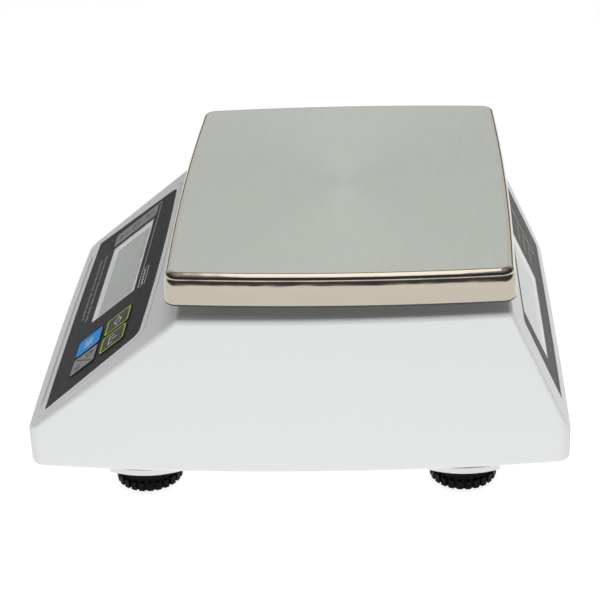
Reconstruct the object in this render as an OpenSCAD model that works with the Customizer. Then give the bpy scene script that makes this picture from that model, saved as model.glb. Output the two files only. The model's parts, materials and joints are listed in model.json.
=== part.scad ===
// Counter-top counting scale: a white drafted housing with an operator panel on the front
// slope, a customer display on the rear slope, a stainless platter on a single-point load
// cell, and four levelling feet.  +X is the operator's right, -Y faces the operator.

/* [Body] */
// Width of the housing at its rim, in the middle of its length
body_w = 254; // [230:1:310]
// Length of the housing from front to rear
body_d = 308; // [280:1:370]
// Height of the housing from its rim to the deck under the platter
body_h = 93.1; // [86:0.1:115]
// Height of the housing rim above the table, feet wound in
foot_h = 16.4; // [16.4:0.1:24]
// How far each side leans in between the rim and the deck
side_draft = 7.5; // [4:0.5:10]
// How far the long sides curve in at their ends
side_bow = 9; // [4:0.5:12]
// How far the front wall bulges in the middle
front_bow = 2.3; // [0.5:0.1:4]
// How far the rear wall bulges in the middle
rear_bow = 1.5; // [0.5:0.1:4]
// Height of the upright front wall below the operator panel
front_wall_h = 22.6; // [18:0.1:26]
// Height of the upright rear wall below the customer display
rear_wall_h = 18.6; // [18:0.1:22]
// Angle of the operator panel from the table
front_slope = 38.3; // [34:0.1:44]
// Angle of the customer display from the table
rear_slope = 65.7; // [60:0.1:72]
// Wall thickness of the housing
wall = 2.8; // [2.4:0.1:3.4]
// Radius of the upright corners of the housing
corner_r = 9; // [6:0.5:12]

/* [Platter] */
// Width of the platter across its top, side to side
platter_w = 239; // [210:1:290]
// Length of the platter along its top, front to rear
platter_d = 191.6; // [170:0.2:230]
// Height of the platter's skirt, top face included
skirt_h = 18.6; // [16:0.1:20]
// How far the skirt spreads outwards at its lower edge
skirt_flare = 1.1; // [0:0.1:2.5]
// Sheet thickness of the platter
sheet = 1; // [0.8:0.1:1.5]
// Radius of the bend between top and skirt
bend_r = 3.5; // [3:0.5:7]
// Radius of the platter's corners in plan
platter_corner_r = 8; // [6:0.5:16]
// How far the platter's left and right edges bulge
platter_side_bow = 4.1; // [1:0.1:6]
// How far the platter's front and rear edges bulge
platter_end_bow = 2.7; // [1:0.1:4]
// Gap between the deck and the lower edge of the skirt
skirt_gap = 8.9; // [7:0.1:12]
// Platter centre behind the centre of the body
platter_y = 26.3; // [24:0.1:30]

/* [Operator panel] */
// Width of the overlay along its lower edge
overlay_w = 210; // [200:1:216]
// How much narrower the overlay is on each side at its upper edge
overlay_taper = 7.5; // [3:0.5:10]
// Height of the overlay along the slope
overlay_h = 72; // [66:0.5:74]
// Lower edge of the overlay above the foot of the slope
overlay_s = 11; // [10:0.5:15]
// White border of the bezel around the overlay
bezel_rim = 4; // [3:0.1:5]
// Width of a display window
window_w = 99; // [90:0.5:104]
// Height of a display window
window_h = 35.5; // [32:0.5:38]
// Centre of a display window, left of the panel's middle
window_x = 23.4; // [18:0.2:28]
// Centre of the operator's window above the foot of the slope
window_s = 48.2; // [46:0.2:50]
// Width of a key
key_w = 18.6; // [16:0.2:19]
// Height of a key
key_h = 19.4; // [16:0.2:20]
// Distance between the centres of the key columns
key_pitch_x = 20.8; // [20.6:0.2:22]
// Distance between the centres of the key rows
key_pitch_s = 23.2; // [22:0.2:24]
// How far a key goes in
key_travel = 0.6; // [0.4:0.1:0.8]

/* [Customer display] */
// Width of the rear overlay along its lower edge
rear_overlay_w = 192; // [180:1:200]
// Centre of the rear overlay, towards the operator's left
rear_overlay_x = 4; // [0:0.5:5]
// Height of the rear overlay along the slope
rear_overlay_h = 53; // [50:0.5:56]
// Lower edge of the rear overlay above the foot of the slope
rear_overlay_s = 8; // [7:0.5:12]
// Centre of the customer's window above the foot of the slope
rear_window_s = 42; // [39:0.5:43]

/* [Weighing mechanism] */
// Length of the load cell
cell_l = 130; // [120:1:140]
// Width of the load cell
cell_w = 25; // [22:0.5:25]
// Height of the load cell
cell_h = 22; // [20:0.5:24]
// Diameter of the column that carries the platter through the deck
column_d = 46; // [40:1:50]
// How far the platform can sink under load
overload_travel = 0.6; // [0.4:0.1:0.8]

/* [Feet] */
// Diameter of a foot's notched wheel
wheel_d = 37.8; // [34:0.2:39]
// Distance of the feet from the centre line
foot_x = 103.3; // [98:0.1:104]
// Distance of the front feet in front of the centre
front_foot_y = 86.6; // [86:0.1:95]
// Distance of the rear feet behind the centre
rear_foot_y = 93.3; // [88:0.1:100]
// Diameter of the threaded stud
stud_d = 8; // [6:1:8]

/* [Batteries] */
// Diameter of a battery cell
battery_d = 34.2; // [32:0.1:34.2]
// Length of a battery cell
battery_l = 61.5; // [58:0.5:61.5]
// Room between the battery box and the load cell
battery_room = 1.1; // [0.8:0.1:2]
// Room between the battery door and the front feet
door_room = 2.6; // [2:0.1:4]

/* [Hidden] */

$fn = 48;
eps = 0.01;
// Clearance of a loose fit, of a running fit and of a screw in its hole, on the radius
gap = 0.3;
run = 0.05;
screw_gap = 0.03;

// Housing
rim_z = foot_h;
deck_z = rim_z + body_h;
rim_r = 2;
deck_r = 3;
front_y = -body_d / 2 + front_bow;
front_z = rim_z + front_wall_h;
rear_y = body_d / 2 - rear_bow;
rear_z = rim_z + rear_wall_h;
post_r = 4.5;
screw_r = 1.5;
housing_posts = [[107, -122], [110, 2], [104, 128]];
hole_r = column_d / 2 + 6;
collar_h = 2.5;

// Base pan
pan_t = 3;
pan_rim_h = 6;
pan_rim_t = 2;
pan_top = rim_z + pan_t;
flange_w = wall + 1.2;
pan_inset = flange_w + gap;
foot_boss_r = 11;
foot_boss_h = 15;
foot_collar_r = wheel_d / 2 + 1.1;
foot_collar_h = 3.5;
foot_lobe_r = 47;
insert_r = 6.5;
pan_screw_seat = 1.6;
rail_h = 4.8;
rail_t = 2;
rail_lip = 1.6;

// Panels, as heights along the normal of the slope
overlay_t = 0.8;
overlay_sink = 0.1;
front_panel_bow = [1.2, 2.2];
front_panel_r = [1.5, 6];
rear_panel_bow = [1.4, 1.4];
rear_panel_r = [1, 3];
rear_taper = 3;
bezel_t = 1.7;
window_lip = 2;
lcd_t = 2.8;
lcd_n = -wall - 0.2;
board_t = 1.6;
board_n = lcd_n - lcd_t;
key_proud = 0.35;
key_flange = 1;
key_flange_t = 1.1;
dome_t = 0.8;
key_foot_n = board_n + dome_t + key_travel + 0.2;
key_centre = [66, 47.4];
front_board = [188, 60];
front_board_s = 47;
rear_board = [170, 44];
rear_board_s = 40;
lip_size = [184, 5];
lip_s = 3.6;
level_pos = [78, -32];
level_r = 9;

// Platter
platter_z = deck_z + skirt_gap;
platter_top = platter_z + skirt_h;
pad_top = platter_top - sheet;

// Batteries
bay_l = 3 * battery_l + 11.5;
bay_w = 2 * battery_d + 3;
box_wall = 2;
door_t = 2.4;
door_top = rim_z - 0.2;
battery_y = -(platter_y - cell_w / 2 - battery_room - box_wall - bay_w / 2);
door_w = bay_w + 6.6;
door_l = bay_l + 4;
rail_l = 150;
cell_z = rim_z + 0.4 + battery_d / 2;
box_top = cell_z + battery_d / 2 + 1 + box_wall;
board_z = box_top + 6;
main_size = [124, 60];
main_y = -battery_y;

// Weighing mechanism
chassis_t = 4;
chassis_z = pan_top + 4;
chassis_size = [176, 68];
chassis_y = platter_y + 23;
chassis_screw = [78, 28];
chassis_post_r = 6;
block_l = 28;
foot_block_h = 8;
head_block_h = 8;
cell_bottom = chassis_z + chassis_t + foot_block_h;
cell_top = cell_bottom + cell_h;
flange_z = cell_top + head_block_h;
flange_t = 6;
column_top = deck_z + 4.5;
arm_t = 8;
arm_w = 16;
arm_end = [92, 68];
pad_r = 9;
pad_h = 4;

// Feet
pad_t = 1.5;
block_t = 5;
blocks = 24;
notch_w = 1.7;
ring_sink = 1.7;
ring_gap = 0.4;
hub_r = 10;
stud_top = rim_z + foot_boss_h;
front_feet = max(front_foot_y, battery_y + door_w / 2 + foot_collar_r + door_room);
foot_at = [[-foot_x, -front_feet], [foot_x, -front_feet],
           [-foot_x, rear_foot_y], [foot_x, rear_foot_y]];

// Points of an arc, both ends included
function arc(c, r, a0, a1, n) =
  [for (i = [0:n]) c + r * [cos(a0 + (a1 - a0) * i / n), sin(a0 + (a1 - a0) * i / n)]];

// The right half of a bowed outline, from the middle of its front to the middle of its rear
function half_outline(w, y0, y1, sb, fb, rb, r) =
  let (
    yc = (y0 + y1) / 2,
    h = (y1 - y0) / 2,
    xa = w - sb - r,
    ya = y0 + fb * pow(xa / w, 2) + r,
    yb = y1 - rb * pow(xa / w, 2) - r,
    xf = w - sb * pow((ya - yc) / h, 2) - r,
    xr = w - sb * pow((yb - yc) / h, 2) - r
  )
  concat(
    [for (i = [0:4]) [xf * i / 5, y0 + fb * pow(xf * i / 5 / w, 2)]],
    arc([xf, ya], r, -90, 0, 6),
    [for (i = [1:7]) let (y = ya + (yb - ya) * i / 8) [w - sb * pow((y - yc) / h, 2), y]],
    arc([xr, yb], r, 0, 90, 6),
    [for (i = [4:-1:0]) [xr * i / 5, y1 - rb * pow(xr * i / 5 / w, 2)]]
  );

// The whole outline, anticlockwise
function outline(w, y0, y1, sb, fb, rb, r) =
  let (right = half_outline(w, y0, y1, sb, fb, rb, r), n = len(right))
  concat(right, [for (i = [n - 2:-1:1]) [-right[i].x, right[i].y]]);

// A panel outline between s0 and s1: half width, bow of the long edge and corner radius, each
// as [lower, upper]
function panel_outline(w, s0, s1, bow, r) =
  concat(
    [for (i = [-3:3]) [(w[0] - r[0]) * i / 3, s0 - bow[0] * (1 - pow(i / 3, 2))]],
    arc([w[0] - r[0], s0 + r[0]], r[0], -90, 0, 5),
    arc([w[1] - r[1], s1 - r[1]], r[1], 0, 90, 5),
    [for (i = [3:-1:-3]) [(w[1] - r[1]) * i / 3, s1 + bow[1] * (1 - pow(i / 3, 2))]],
    arc([-w[1] + r[1], s1 - r[1]], r[1], 90, 180, 5),
    arc([-w[0] + r[0], s0 + r[0]], r[0], 180, 270, 5)
  );

// A rectangle with rounded corners, centred
function round_rect(w, h, r) =
  concat(
    arc([w / 2 - r, -h / 2 + r], r, -90, 0, 5),
    arc([w / 2 - r, h / 2 - r], r, 0, 90, 5),
    arc([-w / 2 + r, h / 2 - r], r, 90, 180, 5),
    arc([-w / 2 + r, -h / 2 + r], r, 180, 270, 5)
  );

// Half width of the housing in the middle of its length, at height z
function half_w(z) = body_w / 2 - side_draft * (z - rim_z) / body_h;

// Outline of the housing at height z, moved inwards
function housing_outline(z, inset) =
  outline(half_w(z) - inset, -body_d / 2 + inset, body_d / 2 - inset, side_bow, front_bow,
          rear_bow, max(corner_r - inset, 2));

function platter_outline(inset) =
  outline(platter_w / 2 - inset, platter_y - platter_d / 2 + inset,
          platter_y + platter_d / 2 - inset, platter_side_bow, platter_end_bow,
          platter_end_bow, max(platter_corner_r - max(inset, 0), 1));

// Side view of the two slopes and the deck, moved inwards
function slopes(inset) =
  let (
    fy = front_y + inset * sin(front_slope),
    fz = front_z - inset * cos(front_slope),
    ry = rear_y - inset * sin(rear_slope),
    rz = rear_z - inset * cos(rear_slope),
    top = deck_z - inset,
    over = 4
  )
  [
    [-body_d / 2 - over, rim_z - 10],
    [-body_d / 2 - over, fz - (fy + body_d / 2 + over) * tan(front_slope)],
    [fy + (top - fz) / tan(front_slope), top],
    [ry - (top - rz) / tan(rear_slope), top],
    [body_d / 2 + over, rz - (body_d / 2 + over - ry) * tan(rear_slope)],
    [body_d / 2 + over, rim_z - 10]
  ];

// A closed solid through a stack of outlines with equally many points, each [height, points]
module loft(rings) {
  n = len(rings[0][1]);
  m = len(rings);
  points = [for (ring = rings, p = ring[1]) [p.x, p.y, ring[0]]];
  sides = [for (i = [0:m - 2], k = [0:n - 1])
    let (a = i * n + k, b = i * n + (k + 1) % n)
    for (f = [[a, a + n, b + n], [a, b + n, b]]) f];
  bottom = [for (k = [0:n - 1]) k];
  top = [for (k = [n - 1:-1:0]) (m - 1) * n + k];
  polyhedron(points = points, faces = concat([bottom], sides, [top]));
}

// A rounded edge as steps [down from the edge, inwards], from the side to the flat
function edge_steps(r, angles) = [for (a = angles) r * [1 - sin(a), 1 - cos(a)]];

module housing_form() {
  low = edge_steps(rim_r, [90, 60, 30, 0]);
  high = edge_steps(deck_r, [0, 30, 60, 90]);
  intersection() {
    loft(concat(
      [for (e = low) let (z = rim_z + e[0]) [z, housing_outline(z, e[1])]],
      [for (e = high) let (z = deck_z - e[0]) [z, housing_outline(z, e[1])]]
    ));
    slope_prism(0);
  }
}

module housing_cavity() {
  intersection() {
    union() {
      loft([for (z = [pan_top, deck_z]) [z, housing_outline(z, wall)]]);
      loft([for (z = [rim_z - 2, pan_top + 1]) [z, housing_outline(rim_z, flange_w)]]);
    }
    slope_prism(wall);
  }
}

module slope_prism(inset) {
  translate([-body_w, 0, 0])
    rotate([90, 0, 90])
      linear_extrude(2 * body_w)
        polygon(slopes(inset));
}

// Local frames of the two slopes: x to the viewer's right, y up the slope, z outwards
module on_front() {
  translate([0, front_y, front_z]) rotate([front_slope, 0, 0]) children();
}
module on_rear() {
  translate([0, rear_y, rear_z]) rotate([0, 0, 180]) rotate([rear_slope, 0, 0]) children();
}

// A plate between two heights along the normal
module plate(points, n0, n1) {
  translate([0, 0, n0]) linear_extrude(n1 - n0) polygon(points);
}
module rect_plate(size, centre, r, n0, n1) {
  translate([centre.x, centre.y, 0]) plate(round_rect(size.x, size.y, r), n0, n1);
}
module block(size, centre_xy, z0) {
  translate([centre_xy.x - size.x / 2, centre_xy.y - size.y / 2, z0]) cube(size);
}
module rod(r, z0, z1) {
  translate([0, 0, z0]) cylinder(r = r, h = z1 - z0);
}

// A pan-head screw, head up, whose head seats at z = 0
module screw(r, length, head_r, head_h) {
  rod(r, -length, 0);
  difference() {
    rod(head_r, 0, head_h);
    for (a = [0, 90])
      rotate([0, 0, a])
        translate([-head_r * 0.6, -0.4, head_h * 0.45]) cube([head_r * 1.2, 0.8, head_h]);
  }
}

// A tube swept along a route of points
function unit(v) = v / norm(v);
function route_dir(p, i) =
  unit(p[min(i + 1, len(p) - 1)] - p[max(i - 1, 0)]);
module tube(route, r, sides) {
  n = len(route);
  rings = [for (i = [0:n - 1])
    let (
      d = route_dir(route, i),
      u = unit(cross(d, abs(d.z) > 0.9 ? [1, 0, 0] : [0, 0, 1])),
      v = cross(u, d)
    )
    for (k = [0:sides - 1]) route[i] + r * (cos(360 * k / sides) * u + sin(360 * k / sides) * v)];
  side_faces = [for (i = [0:n - 2], k = [0:sides - 1])
    let (a = i * sides + k, b = i * sides + (k + 1) % sides)
    for (f = [[a, b, b + sides], [a, b + sides, a + sides]]) f];
  start_face = [for (k = [sides - 1:-1:0]) k];
  end_face = [for (k = [0:sides - 1]) (n - 1) * sides + k];
  polyhedron(points = rings, faces = concat([start_face], side_faces, [end_face]));
}

// The four keys: column 0 or 1 from the left, row 0 below or 1 above
function key_at(col, row) =
  key_centre + [(col - 0.5) * key_pitch_x, (row - 0.5) * key_pitch_s];

module front_panel(grow, n0, n1) {
  half = overlay_w / 2 + grow;
  plate(panel_outline([half, half - overlay_taper], overlay_s - grow,
                      overlay_s + overlay_h + grow, front_panel_bow, front_panel_r),
        n0, n1);
}
module rear_panel(grow, n0, n1) {
  half = rear_overlay_w / 2 + grow;
  translate([rear_overlay_x, 0, 0])
    plate(panel_outline([half, half - rear_taper], rear_overlay_s - grow,
                        rear_overlay_s + rear_overlay_h + grow, rear_panel_bow, rear_panel_r),
          n0, n1);
}
module window(s, lip, n0, n1) {
  rect_plate([window_w - 2 * lip, window_h - 2 * lip], [-window_x, s], 1.5, n0, n1);
}
module key_holes(clear, n0, n1) {
  for (col = [0, 1], row = [0, 1])
    rect_plate([key_w + 2 * clear, key_h + 2 * clear], key_at(col, row), 2.5, n0, n1);
}

// Screw posts of the two display boards, in the frame of a slope
function board_posts(size, s) =
  [for (i = [-1, 1], j = [-1, 1]) [i * (size.x / 2 - 4), s + j * (size.y / 2 - 4)]];
module posts(points, r, n0, n1) {
  for (p = points) translate([p.x, p.y, 0]) rod(r, n0, n1);
}

module upper_housing() {
  color([0.93, 0.94, 0.94])
    difference() {
      union() {
        difference() {
          housing_form();
          housing_cavity();
        }
        translate([0, platter_y, 0]) rod(hole_r + 3, deck_z - wall, deck_z + collar_h);
        intersection() {
          for (p = housing_posts, i = [-1, 1])
            translate([i * p.x, p.y, 0]) rod(post_r, pan_top, deck_z);
          housing_form();
        }
        on_front() {
          rect_plate(lip_size, [0, lip_s], 2, -wall, 0.8);
          posts(board_posts(front_board, front_board_s), 3, board_n, -wall + eps);
        }
        on_rear() posts(board_posts(rear_board, rear_board_s), 3, board_n, -wall + eps);
      }
      translate([0, platter_y, 0]) rod(hole_r, deck_z - 2 * wall, deck_z + 2 * collar_h);
      translate([level_pos.x, level_pos.y, 0]) rod(level_r + run, deck_z - 2 * wall, deck_z + 1);
      for (p = housing_posts, i = [-1, 1])
        translate([i * p.x, p.y, 0]) rod(screw_r + screw_gap, pan_top - 1, pan_top + 13);
      on_front() {
        front_panel(bezel_rim + gap, -bezel_t, 5);
        window(window_s, window_lip, -2 * wall, 0);
        key_holes(gap, -2 * wall, 0);
        posts(board_posts(front_board, front_board_s), 1 + screw_gap, board_n - 1, -wall);
      }
      on_rear() {
        rear_panel(gap, -overlay_t - overlay_sink, 5);
        window(rear_window_s, window_lip, -2 * wall, 0);
        posts(board_posts(rear_board, rear_board_s), 1 + screw_gap, board_n - 1, -wall);
      }
      jack_hole();
    }
}

jack_x = -70;
jack_z = rim_z + 9.2;
jack_r = 4.6;
module jack_hole() {
  translate([jack_x, body_d / 2 - 2 * wall - 4, jack_z])
    rotate([-90, 0, 0]) cylinder(r = jack_r + run, h = 4 * wall + 4);
}

// The shallow lobe of the pan that covers a foot, on the side of the given sign
module foot_collar(side) {
  translate([0, 0, rim_z - foot_collar_h]) linear_extrude(foot_collar_h) intersection() {
    translate([side * (foot_collar_r - foot_lobe_r), 0]) circle(r = foot_lobe_r, $fn = 120);
    square(2 * foot_collar_r, center = true);
  }
}

module base_pan() {
  color([0.9, 0.91, 0.91])
    difference() {
      union() {
        translate([0, 0, rim_z]) linear_extrude(pan_t) polygon(housing_outline(rim_z, pan_inset));
        difference() {
          translate([0, 0, rim_z])
            linear_extrude(pan_t + pan_rim_h) polygon(housing_outline(rim_z, pan_inset));
          translate([0, 0, rim_z])
            linear_extrude(2 * pan_rim_h) polygon(housing_outline(rim_z, pan_inset + pan_rim_t));
        }
        for (p = foot_at) translate([p.x, p.y, 0]) {
          rod(foot_boss_r, rim_z - foot_collar_h, rim_z + foot_boss_h);
          foot_collar(sign(p.x));
        }
        for (i = [-1, 1], j = [-1, 1])
          translate([i * chassis_screw.x, chassis_y + j * chassis_screw.y, 0])
            rod(chassis_post_r, rim_z, chassis_z);
        for (j = [-1, 1]) {
          rail_y = door_w / 2 + gap + rail_t / 2;
          block([rail_l, rail_t, rail_h], [0, -battery_y + j * rail_y], rim_z - rail_h);
          block([rail_l, rail_t + 1.4, rail_lip], [0, -battery_y + j * (rail_y - 0.7)],
                rim_z - rail_h);
        }
      }
      block([bay_l, bay_w, 4 * pan_t], [0, -battery_y], rim_z - pan_t);
      for (p = foot_at) translate([p.x, p.y, 0]) rod(insert_r + screw_gap, 0, stud_top + 1);
      for (p = housing_posts, i = [-1, 1]) translate([i * p.x, p.y, 0]) {
        rod(screw_r + gap, rim_z - 1, pan_top + pan_rim_h + 1);
        rod(post_r + gap, pan_top, pan_top + pan_rim_h + 1);
        rod(3.3, rim_z - 1, rim_z + pan_screw_seat);
      }
      for (i = [-1, 1], j = [-1, 1])
        translate([i * chassis_screw.x, chassis_y + j * chassis_screw.y, 0])
          rod(2 + screw_gap, rim_z + 1, chassis_z + 1);
      jack_clearance();
    }
}

jack_size = [15, 12, 11];
module jack_clearance() {
  block([jack_size.x + 1, jack_size.y + 14, 3 * pan_rim_h],
        [jack_x, body_d / 2 - wall - 7], pan_top);
}

module housing_screws() {
  color([0.75, 0.76, 0.78])
    for (p = housing_posts, i = [-1, 1])
      translate([i * p.x, p.y, rim_z + pan_screw_seat])
        rotate([180, 0, 0]) screw(screw_r, 12.5, 2.8, 1.5);
}

module front_bezel() {
  color([0.95, 0.95, 0.96])
    on_front() difference() {
      front_panel(bezel_rim, -bezel_t, 0.15);
      front_panel(0.15, -overlay_t - overlay_sink, 5);
      window(window_s, window_lip, -5, 0);
      key_holes(gap, -5, 0);
    }
}

module front_overlay() {
  color([0.2, 0.2, 0.22])
    on_front() difference() {
      front_panel(0, -overlay_t - overlay_sink, -overlay_sink);
      window(window_s, -0.05, -5, 5);
      key_holes(0.35, -5, 5);
    }
}

module front_lens() {
  color([0.62, 0.66, 0.6, 0.5])
    on_front() window(window_s, 0, -overlay_t - overlay_sink, -overlay_sink);
}

module lcd_panel(s) {
  rect_plate([window_w - 2, window_h - 1.5], [-window_x, s], 0.5, board_n, lcd_n);
}
module front_lcd() {
  color([0.66, 0.68, 0.62]) on_front() lcd_panel(window_s);
}

module display_board(size, s) {
  difference() {
    rect_plate(size, [0, s], 2, board_n - board_t, board_n);
    posts(board_posts(size, s), 1.2, board_n - 3, board_n + 1);
  }
}
module front_display_board() {
  color([0.1, 0.42, 0.25]) on_front() display_board(front_board, front_board_s);
}

module key_domes() {
  color([0.85, 0.85, 0.8])
    on_front()
      for (col = [0, 1], row = [0, 1])
        translate(key_at(col, row)) rod(6, board_n, board_n + dome_t);
}

module rear_overlay() {
  color([0.38, 0.39, 0.36])
    on_rear() difference() {
      rear_panel(0, -overlay_t - overlay_sink, -overlay_sink);
      window(rear_window_s, -0.05, -5, 5);
    }
}
module rear_lens() {
  color([0.62, 0.66, 0.6, 0.5])
    on_rear() window(rear_window_s, 0, -overlay_t - overlay_sink, -overlay_sink);
}
module rear_lcd() {
  color([0.66, 0.68, 0.62]) on_rear() lcd_panel(rear_window_s);
}
module rear_display_board() {
  color([0.1, 0.42, 0.25]) on_rear() display_board(rear_board, rear_board_s);
}

// The main board sits on four posts of the battery box
main_posts = [for (i = [-1, 1], j = [-1, 1])
  [i * (main_size.x / 2 - 5), main_y + j * (main_size.y / 2 - 5)]];
module main_board() {
  color([0.1, 0.42, 0.25])
    difference() {
      block([main_size.x, main_size.y, board_t], [0, main_y], board_z);
      posts(main_posts, 1.7, board_z - 1, board_z + 3);
    }
}
cell_plug = [-main_size.x / 2 + 7, main_y + 11, board_z + board_t];
cell_plug_size = [6, 7, 5];
module board_chips() {
  z = board_z + board_t;
  color([0.12, 0.12, 0.13]) {
    block(cell_plug_size, cell_plug, z);
    block([14, 14, 1.6], [-18, main_y + 4], z);
    block([10, 8, 1.4], [8, main_y + 8], z);
    block([10, 8, 1.4], [8, main_y - 8], z);
    block([22, 5, 6], [0, main_y - main_size.y / 2 + 4], z);
    block([18, 5, 6], [-42, main_y + main_size.y / 2 - 14], z);
    translate([42, main_y - 16, 0]) rod(5, z, z + 12);
    translate([42, main_y - 4, 0]) rod(4, z, z + 10);
  }
}
module buzzer() {
  z = board_z + board_t;
  color([0.1, 0.1, 0.1])
    translate([40, main_y + 14, 0]) difference() {
      rod(6, z, z + 8);
      rod(1, z + 5, z + 9);
    }
}
module board_screws() {
  color([0.78, 0.78, 0.8]) {
    for (p = main_posts) translate([p.x, p.y, board_z + board_t]) screw(screw_r, 6, 2.8, 1.6);
    on_front() for (p = board_posts(front_board, front_board_s))
      translate([p.x, p.y, board_n - board_t]) rotate([180, 0, 0]) screw(1, 4, 2, 1.2);
    on_rear() for (p = board_posts(rear_board, rear_board_s))
      translate([p.x, p.y, board_n - board_t]) rotate([180, 0, 0]) screw(1, 4, 2, 1.2);
  }
}

// Power inlet: a block inside the rear wall with a round nose in the wall
jack_back = body_d / 2 - rear_bow - wall - 0.4;
module dc_jack() {
  color([0.08, 0.08, 0.09])
    difference() {
      union() {
        translate([jack_x - jack_size.x / 2, jack_back - jack_size.y, jack_z - jack_size.z / 2])
          cube(jack_size);
        translate([jack_x, jack_back - eps, jack_z])
          rotate([-90, 0, 0]) cylinder(r = jack_r, h = wall + 0.2);
      }
      difference() {
        translate([jack_x, jack_back - 7.5, jack_z])
          rotate([-90, 0, 0]) cylinder(r = 2.9, h = 20);
        translate([jack_x, jack_back - 8, jack_z])
          rotate([-90, 0, 0]) cylinder(r = 1, h = 8 + wall - 1);
      }
    }
}

module battery_box() {
  color([0.2, 0.2, 0.21])
    difference() {
      union() {
        block([bay_l + 2 * box_wall, bay_w + 2 * box_wall, box_top - pan_top], [0, -battery_y],
              pan_top);
        posts(main_posts, 3.5, box_top - eps, board_z);
      }
      block([bay_l, bay_w, box_top - box_wall - pan_top + 1], [0, -battery_y], pan_top - 1);
      posts(main_posts, screw_r + screw_gap, box_top - box_wall + 0.5, board_z + 1);
    }
}

module battery_cells() {
  color([0.55, 0.42, 0.2])
    for (i = [-1:1], j = [-1, 1]) {
      way = j * 90;
      translate([i * battery_l, -battery_y + j * (battery_d / 2 + 0.5), cell_z])
        rotate([0, way, 0]) {
          rod(battery_d / 2, -battery_l / 2 + 0.4, battery_l / 2 - 2);
          rod(4.8, battery_l / 2 - 2 - eps, battery_l / 2 - 0.3);
        }
    }
}

module battery_contacts() {
  color([0.8, 0.78, 0.7])
    for (i = [-1, 1], j = [-1, 1])
      translate([i * (bay_l / 2 - 0.4), -battery_y + j * (battery_d / 2 + 0.5), cell_z]) {
        translate([-0.4, -11, -11]) cube([0.8, 22, 22]);
        rotate([0, -i * 90, 0]) for (k = [0:1])
          translate([0, 0, 0.4 + k * 2]) rotate_extrude() translate([7 - 2 * k, 0.8]) circle(r = 0.8);
      }
}

lead_route = [[0, 0], [4, 2], [6, 10], [3, 20], [-4, 24], [-16, 22]];
module battery_leads() {
  x = bay_l / 2 + box_wall + 1.2;
  color([0.7, 0.1, 0.1])
    for (j = [-1, 1])
      tube([for (p = lead_route)
             [x + p.x * 0.4 - (p.y > 20 ? 28 : 0) * (p.x < 0 ? 1 : 0), -battery_y + 3 * j,
              box_top - 19 + p.y]], 0.9, 8);
}

module battery_door() {
  color([0.88, 0.89, 0.89]) {
    block([door_l, door_w, door_t], [0, -battery_y], door_top - door_t);
    for (k = [0:4])
      block([1.2, 30, 0.6], [door_l / 2 - 8 - 3 * k, -battery_y], door_top - door_t - 0.6 + eps);
  }
}

module chassis() {
  color([0.72, 0.73, 0.74])
    difference() {
      block([chassis_size.x, chassis_size.y, chassis_t], [0, chassis_y], chassis_z);
      for (i = [-1, 1], j = [-1, 1])
        translate([i * chassis_screw.x, chassis_y + j * chassis_screw.y, 0])
          rod(2.3, chassis_z - 1, chassis_z + chassis_t + 1);
      for (i = [-1, 1])
        translate([-cell_l / 2 + block_l / 2 + i * 7, platter_y, 0])
          rod(2.5 + 0.3, chassis_z - 1, chassis_z + chassis_t + 1);
      translate([cell_l / 2 - block_l / 2, platter_y, 0])
        rod(3 + screw_gap, chassis_z - 1, chassis_z + chassis_t + 1);
      for (i = [-1, 1]) block([54, 26, 3 * chassis_t], [i * 34, chassis_y + 14], chassis_z - 2);
    }
}
module chassis_screws() {
  color([0.8, 0.8, 0.82])
    for (i = [-1, 1], j = [-1, 1])
      translate([i * chassis_screw.x, chassis_y + j * chassis_screw.y, chassis_z + chassis_t])
        screw(2, chassis_t + 4.5, 3.8, 2.4);
}

// Single-point load cell along X, fixed at its left end
module cell_holes(side, r, z0, z1) {
  for (i = [-1, 1])
    translate([side * (cell_l / 2 - block_l / 2) + i * 7, platter_y, 0]) rod(r, z0, z1);
}
module load_cell_foot() {
  color([0.62, 0.63, 0.65])
    difference() {
      block([block_l, cell_w, foot_block_h], [-(cell_l - block_l) / 2, platter_y],
            chassis_z + chassis_t);
      cell_holes(-1, 2.5 + 0.3, chassis_z, cell_bottom + 1);
    }
}
module load_cell() {
  color([0.78, 0.79, 0.8])
    difference() {
      block([cell_l, cell_w, cell_h], [0, platter_y], cell_bottom);
      for (i = [-1, 1])
        translate([i * 9, platter_y, cell_bottom + cell_h / 2])
          rotate([90, 0, 0]) cylinder(r = cell_h / 2 - 2.2, h = 2 * cell_w, center = true);
      translate([-9, platter_y - cell_w, cell_bottom + cell_h / 2 - 3])
        cube([18, 2 * cell_w, 6]);
      cell_holes(-1, 2.5 + screw_gap, cell_bottom - 1, cell_bottom + 12);
      cell_holes(1, 2.5 + screw_gap, cell_top - 12, cell_top + 1);
    }
}
module load_cell_bolts() {
  color([0.35, 0.35, 0.37])
    for (i = [-1, 1])
      translate([-(cell_l - block_l) / 2 + i * 7, platter_y, chassis_z])
        rotate([180, 0, 0]) screw(2.5, chassis_t + foot_block_h + 10, 4.2, 2.4);
}
module overload_screw() {
  color([0.35, 0.35, 0.37])
    translate([cell_l / 2 - block_l / 2, platter_y, 0]) {
      rod(3, chassis_z - 3, cell_bottom - overload_travel - 0.2);
      difference() {
        rod(5.5, chassis_z + chassis_t, chassis_z + chassis_t + 3.5);
        rod(3 - eps, chassis_z, chassis_z + chassis_t + 5);
      }
    }
}

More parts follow.
